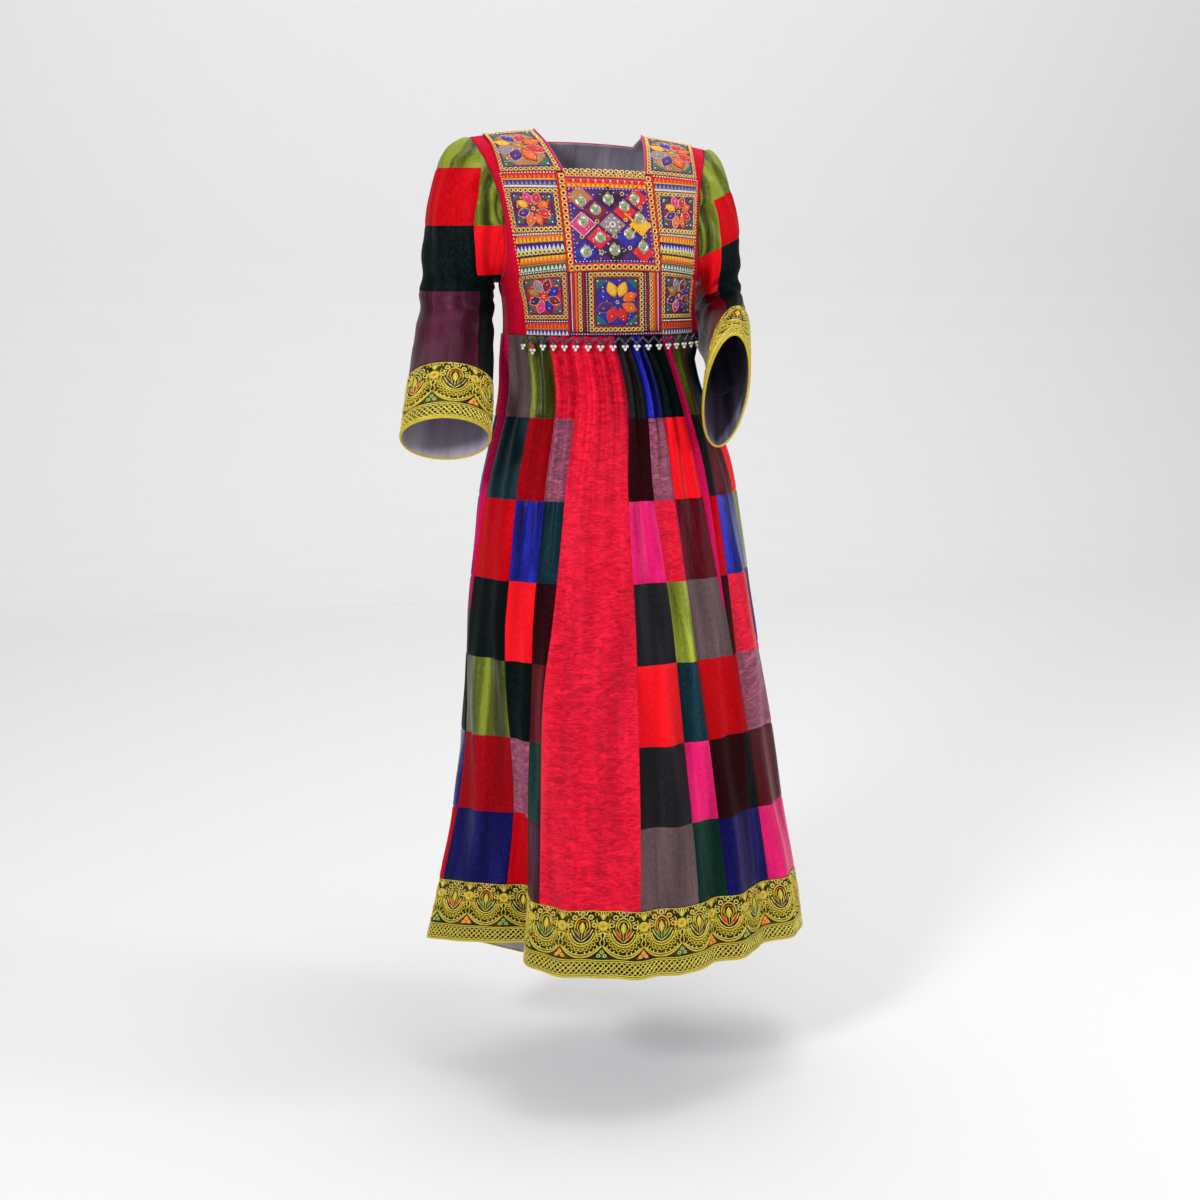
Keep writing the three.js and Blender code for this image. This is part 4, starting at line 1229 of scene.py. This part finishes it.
def square(u0, u1, v0, v1, field, edge, corner, names, petals=8, reach=0.42, outline="white"):
    """A bordered square: rows of rings round a field with corner triangles and a flower."""
    threads.field(u0, u1, v0, v1, THREADS["tan"])
    row = 7.4
    for v in (v0 + row / 2, v1 - row / 2):
        row_of_rings((u0, v), (u1, v))
    for u in (u0 + row / 2, u1 - row / 2):
        row_of_rings((u, v0 + row), (u, v1 - row))
    u0, u1, v0, v1 = u0 + row, u1 - row, v0 + row, v1 - row
    frame_cord(u0, u1, v0, v1, 1.6, "maroon")
    u0, u1, v0, v1 = u0 + 1.9, u1 - 1.9, v0 + 1.9, v1 - 1.9
    threads.field(u0, u1, v0, v1, THREADS[field], 0.6)
    frame_cord(u0, u1, v0, v1, 2.4, edge, 1.2)
    cut = min(u1 - u0, v1 - v0) * 0.26
    for cu, cv, su, sv in ((u0, v0, 1, 1), (u1, v0, -1, 1), (u1, v1, -1, -1), (u0, v1, 1, -1)):
        cu, cv = cu + su * 1.6, cv + sv * 1.6
        threads.patch([(cu, cv), (cu + su * cut, cv), (cu, cv + sv * cut)], 1.2, THREADS[corner], base=0.3)
        metals.dome(cu + su * 2, cv + sv * 2, 1.2, 1.0, WHITE_BEAD, sides=6, base=1.0)
    reach *= (u1 - u0 + v1 - v0) / 2 * 1.24
    flower((u0 + u1) / 2, (v0 + v1) / 2, reach, petals, names.split(), outline)
    scatter(54, u0 + 2, u1 - 2, v0 + 2, v1 - 2, SCATTERED, 0.9)


def strip(low, high, v, rows):
    """Rows of zigzags, bars, rings and beads, each given as its kind, its depth and its colours."""
    for row in rows.split(", "):
        kind, size, first, *second = row.split()
        size = float(size)
        ends = (low, v + size / 2), (high, v + size / 2)
        if kind == "zigzag":
            zigzag(low, high, v, v + size, 6.5, first, second[0])
        elif kind == "bar":
            bar(low, high, v + 0.2, v + size - 0.2, first, 1.0)
        elif kind == "rings":
            bar(low, high, v, v + size, first, 0.6)
            row_of_rings(*ends, metal=PALE_GOLD)
        else:
            bar(low, high, v, v + size, first)
            row_of_beads(*ends, 1.2, 4.2, [WHITE_BEAD], base=0.7)
        v += size


def side_panel(side):
    """Bars of zigzags between three squares, from the waist up to the shoulder."""
    low, high = (72.5, EDGE) if side > 0 else (-EDGE, -72.5)
    strip(low, high, 1, "zigzag 8 blue white, bar 3 orange, zigzag 8 red orange, beads 4 purple")
    field = "red" if side < 0 else "maroon"
    square(low, high, 25, 97, field, "purple", "teal", "blue maroon grey tan plum pink")
    strip(low, high, 98, "beads 4 teal, zigzag 7 green white, bar 3 tan, zigzag 9 yellow orange, bar 3 plum, "
          "rings 5 white, zigzag 8 blue white, bar 2.5 purple, zigzag 9 orange yellow, beads 3 grey")
    square(low, high, 152, 214, "maroon", "blue", "teal", "orange red pink yellow purple orange")
    strip(low, high, 215, "beads 4 white, zigzag 8 blue grey, bar 3 yellow, zigzag 8 red orange, "
          "beads 3.5 red")
    low, high = (63.5, EDGE) if side > 0 else (-EDGE, -63.5)
    square(low, high, 243, BIB_TOP - 3, "tan", "blue", "green", "orange red blue yellow grey purple")


# Column and row from the middle, colour and edge of each lozenge.
LOZENGES = [
    (0, 0, "grey", "tan"),
    (-1, 1, "maroon", "purple"),
    (1, 1, "red", "purple"),
    (-1, -1, "red", "purple"),
    (1, -1, "blue", "blue"),
    (-2, 0, "pink", "white"),
    (2, 0, "yellow", "purple"),
    (0, 2, "black", "purple"),
    (0, -2, "black", "purple"),
    (-2, 2, "tan", "pink"),
    (2, 2, "red", "purple"),
    (-2, -2, "blue", "blue"),
    (2, -2, "red", "purple"),
]
# Places of the mirror discs and of the loose rings, from the middle of the coin panel.
MIRRORS = [(-44, 34), (-2, 38), (40, 40), (-23, 22), (22, 28), (-44, 4), (44, 10), (-21, -20), (24, -14),
           (-44, -40), (-1, -38), (45, -32)]
LOOSE_RINGS = [(-22, 4), (22, -34), (20, 7), (-20, -40), (2, -18), (20, 46), (46, 26), (-46, -18), (47, -16)]


def mirror_disc(u, v):
    metals.dome(u, v, 7.8, 1.0, SILVER, sides=14, base=1.2)
    metals.ring(u, v, 7.6, 1.4, SILVER, height=1.2, sides=16, base=1.2)
    metals.ring(u, v, 4.4, 0.9, BRASS, height=0.7, sides=12, base=2.0)
    metals.dome(u, v + 0.6, 3.7, 2.2, GREEN_GLASS, sides=10, base=1.8)
    metals.ring(u, v + 8.6, 1.6, 0.9, BRASS, height=0.8, sides=8, base=1.4)


def coin_panel():
    """The large centre square: lozenges under mirror discs, framed by rings on orange."""
    low, high, bottom, top = -70.0, 70.0, 96.0, NECK_V - 2
    threads.field(low, high, bottom, top, THREADS["orange"])
    row_of_rings((low + 1, bottom + 5.2), (high - 1, bottom + 5.2), radius=3.1, pitch=8.6)
    for u in (low + 4.6, high - 4.6):
        row_of_rings((u, bottom + 9.5), (u, top - 1), radius=3.1, pitch=8.6)
    for u in (low + 9.2, high - 9.2):
        bar(u - 0.9, u + 0.9, bottom + 11, top - 1, "red", 1.3)
    bar(low + 8, high - 8, bottom + 9.4, bottom + 11.2, "red", 1.3)
    low, high, bottom = low + 10, high - 10, bottom + 11.5
    row_of_rings((low, top - 3.4), (high, top - 3.4), centre="maroon")
    bar(low, high, top - 9, top - 6.6, "purple", 1.0)
    half_rounds = 11
    for k in range(half_rounds):
        u = low + (high - low) * (k + 0.5) / half_rounds
        threads.dome(u, top - 12.2, 4.2, 1.8, THREADS["red"], sides=9)
        metals.dome(u + 5.4, top - 12, 1.3, 1.4, WHITE_BEAD, sides=6)
    zigzag(low, high, top - 22, top - 16, 7, "orange", "yellow")
    top -= 23
    threads.field(low, high, bottom, top, THREADS["purple"], 0.5)
    frame_cord(low + 2, high - 2, bottom + 2, top - 2, 3.2, "blue", 1.2)
    for u in np.linspace(low + 3, high - 3, 24):
        for v in (bottom + 2, top - 2):
            metals.dome(u, v, 0.9, 0.9, WHITE_BEAD, sides=5, base=1.0)
    for v in np.linspace(bottom + 4, top - 4, 18):
        for u in (low + 2, high - 2):
            metals.dome(u, v, 0.9, 0.9, WHITE_BEAD, sides=5, base=1.0)
    centre_v = (bottom + top) / 2
    reach_u, reach_v = (high - low) / 2 - 6, (top - bottom) / 2 - 5

    wide, tall = reach_u / 3, reach_v / 3
    for i, j, name, edge in LOZENGES:
        cu, cv = i * wide * 1.2, centre_v + j * tall * 1.2
        du, dv = wide * 1.06, tall * 1.06
        corners = subdivided([(cu - du, cv), (cu, cv - dv), (cu + du, cv), (cu, cv + dv)])
        threads.patch(corners, 1.2, THREADS[name], base=0.2, inner=0.85)
        threads.cord(corners, 1.4, THREADS[edge], closed=True, height=1.6)
    for u0, v0 in ((30, -2), (24, 3)):
        path = [(u0 - 4, centre_v + v0 + 14), (u0 + 8, centre_v + v0), (u0 - 4, centre_v + v0 - 14)]
        threads.cord(spline(path, 3), 3.0, THREADS["yellow"], height=1.8, base=0.6)
    for k in range(16):
        angle = k / 16 * 2 * math.pi
        reach = 3.5 + 6.5 * (k % 2)
        u, v = reach * math.cos(angle), centre_v + reach * math.sin(angle)
        metals.dome(u, v, 1.3, 1.3, WHITE_BEAD, base=1.3)
    metals.dome(0, centre_v, 1.6, 1.8, RED_BEAD, base=1.4)
    for u, v in MIRRORS:
        mirror_disc(u * 0.96, centre_v + v * 0.98)
    scatter(150, low + 5, high - 5, bottom + 5, top - 5, [WHITE_BEAD, DARK_BEAD, BRASS, RED_BEAD], 1.3)
    for u, v in LOOSE_RINGS:
        metals.ring(u, centre_v + v, 2.5, 1.5, BRASS, height=1.4, base=1.2)


def lower_square():
    """The flower square under the coin panel, with upright bars at its sides."""
    square(-41, 41, 6, 94, "blue", "maroon", "teal",
           "orange yellow yellow blue purple red red orange", reach=0.4, outline="tan")
    bar(-70, 70, 0.8, 5.2, "purple", 1.0)
    row_of_beads((-70, 3), (70, 3), 1.0, 4.0, [WHITE_BEAD, BRASS], base=1.0)
    for side in (-1, 1):
        columns = [(42, 45.5, "purple"), (46, 50, "maroon"), (50.4, 56.4, "tan"), (56.8, 61, "orange"),
                   (61.4, 64.6, "red"), (65, 66.8, "white"), (67.2, 70, "purple")]
        for a, b, name in columns:
            u0, u1 = sorted((side * a, side * b))
            bar(u0, u1, 6, 95, name, 0.9)
        row_of_rings((side * 53.4, 7), (side * 53.4, 94), radius=2.3, pitch=6.4)
        row_of_beads((side * 43.8, 7), (side * 43.8, 94), 0.9, 3.4, [WHITE_BEAD, BRASS], base=0.8)


def piping():
    """Crimson cords beside the panels and round the neck and shoulders."""
    for side in (-1, 1):
        for u, v0, v1, count, width, name, height in (
                (71.4, 0.8, NECK_V, 40, 2.0, "red", 1.7),
                (61.4, NECK_V - 1, BIB_TOP - 0.5, 24, 3.0, "pink", 2.4),
                (EDGE, 0.8, BIB_TOP - 0.5, 60, 2.0, "red", 1.6)):
            path = np.linspace((side * u, v0), (side * u, v1), count)
            threads.cord(path, width, THREADS[name], height=height)
        u = side * (EDGE + 0.6)
        row_of_beads((u, 100), (u, 240), 1.3, 4.4, [BRASS, WHITE_BEAD, BRASS], 0.6)
    for k in range(15):
        u = -58 + k * 116 / 14
        metals.ring(u, NECK_V + 1.2, 3.0, 1.9, BRASS, height=1.6, sides=9, base=0.9)
        metals.dome(u + 4.1, NECK_V + 0.2, 1.2, 1.6, WHITE_BEAD if k % 2 else RED_BEAD, sides=6, base=1.1)


def fringe():
    """Points of dark beads under the bib, each with a drop of three white beads at its tip."""
    work = Stitching("bib_fringe", bib_chart)
    count = 17
    pitch = 2 * EDGE / count
    string = 6
    for k in range(count + 1):
        u = -EDGE + k * pitch
        for j in range(string):
            share = j / string
            for side in (-1, 1):
                if abs(u + side * pitch / 2) > EDGE + 1:
                    continue
                place = u + side * pitch / 2 * (1 - share)
                work.bead(place, -1.2 - 8.6 * share, 8.2, 2.1, DARK_BEAD if (j + k) % 3 else VIOLET_BEAD)
        work.bead(u, -10.4, 8.4, 2.2, DARK_BEAD)
        drop = -14.0
        if k == 1:
            work.bead(u, drop - 1, 8.6, 4.0, RED_BEAD)
            drop -= 6.4
        for du, v in ((-2.7, drop), (2.7, drop), (0, drop - 4.2)):
            work.bead(u + du, v, 8.6, 2.8, WHITE_BEAD)
    work.finish()


for side in (-1, 1):
    side_panel(side)
coin_panel()
lower_square()
piping()
threads.finish()
metals.finish()
fringe()

# Stage, light and camera

FLOOR_Z = -1.45


def make_stage():
    side = 10.0
    sweep = [(-side, FLOOR_Z), (3.9, FLOOR_Z)]
    for k in range(1, 13):
        angle = k / 12 * math.pi / 2
        sweep.append((3.9 + 1.2 * math.sin(angle), FLOOR_Z + 1.2 - 1.2 * math.cos(angle)))
    sweep.append((5.1, 5.0))
    vertices = [(x, y, z) for y, z in sweep for x in (-side, side)]
    faces = [(2 * k, 2 * k + 1, 2 * k + 3, 2 * k + 2) for k in range(len(sweep) - 1)]
    mesh = bpy.data.meshes.new("floor")
    mesh.from_pydata(vertices, [], faces)
    look = Look("floor_pale")
    look.set(Base_Color=(0.85, 0.85, 0.85, 1), Roughness=0.9)
    mesh.materials.append(look.material)
    floor = bpy.data.objects.new("floor", mesh)
    bpy.context.scene.collection.objects.link(floor)


def area_light(name, place, target, size, energy):
    light = bpy.data.lights.new(name, "AREA")
    light.shape = "DISK"
    light.size = size
    light.energy = energy
    lamp = bpy.data.objects.new(name, light)
    lamp.location = place
    direction = np.array(target) - np.array(place)
    lamp.rotation_euler = Vector(direction).to_track_quat("-Z", "Y").to_euler()
    bpy.context.scene.collection.objects.link(lamp)


make_stage()
area_light("key", (-2.2, -2.6, 1.0), (0, 0, -0.6), 0.7, 72)
area_light("fill", (2.9, -1.5, 0.2), (0, 0, -0.7), 0.8, 30)
area_light("top", (0.3, -0.9, 2.4), (0, 0, -0.8), 1.2, 22)
area_light("backdrop", (1.2, 2.2, 3.4), (1.2, 5.0, -0.4), 7.0, 125)
world = bpy.data.worlds.new("studio")
world.use_nodes = True
world.node_tree.nodes["Background"].inputs["Color"].default_value = (0.93, 0.93, 0.94, 1)
world.node_tree.nodes["Background"].inputs["Strength"].default_value = 0.43
bpy.context.scene.world = world
bpy.context.scene.view_settings.view_transform = "Standard"

AZIMUTH = math.radians(-13)
PITCH = math.radians(-10.35)
DISTANCE = 3.05
SENSOR = 36
FOCAL_PIXELS, FRAME_PIXELS = 2008, 1200
# How far the camera stands to the right of the dress's middle line, and its height.
SHIFT, CAMERA_Z = 0.017, -0.143
camera_data = bpy.data.cameras.new("camera")
camera_data.sensor_width = SENSOR
camera_data.lens = SENSOR * FOCAL_PIXELS / FRAME_PIXELS
camera = bpy.data.objects.new("camera", camera_data)
right_x, right_y = math.cos(AZIMUTH), math.sin(AZIMUTH)
camera.location = (SHIFT * right_x + DISTANCE * right_y, SHIFT * right_y - DISTANCE * right_x, CAMERA_Z)
camera.rotation_euler = (math.pi / 2 + PITCH, 0, AZIMUTH)
bpy.context.scene.collection.objects.link(camera)
bpy.context.scene.camera = camera
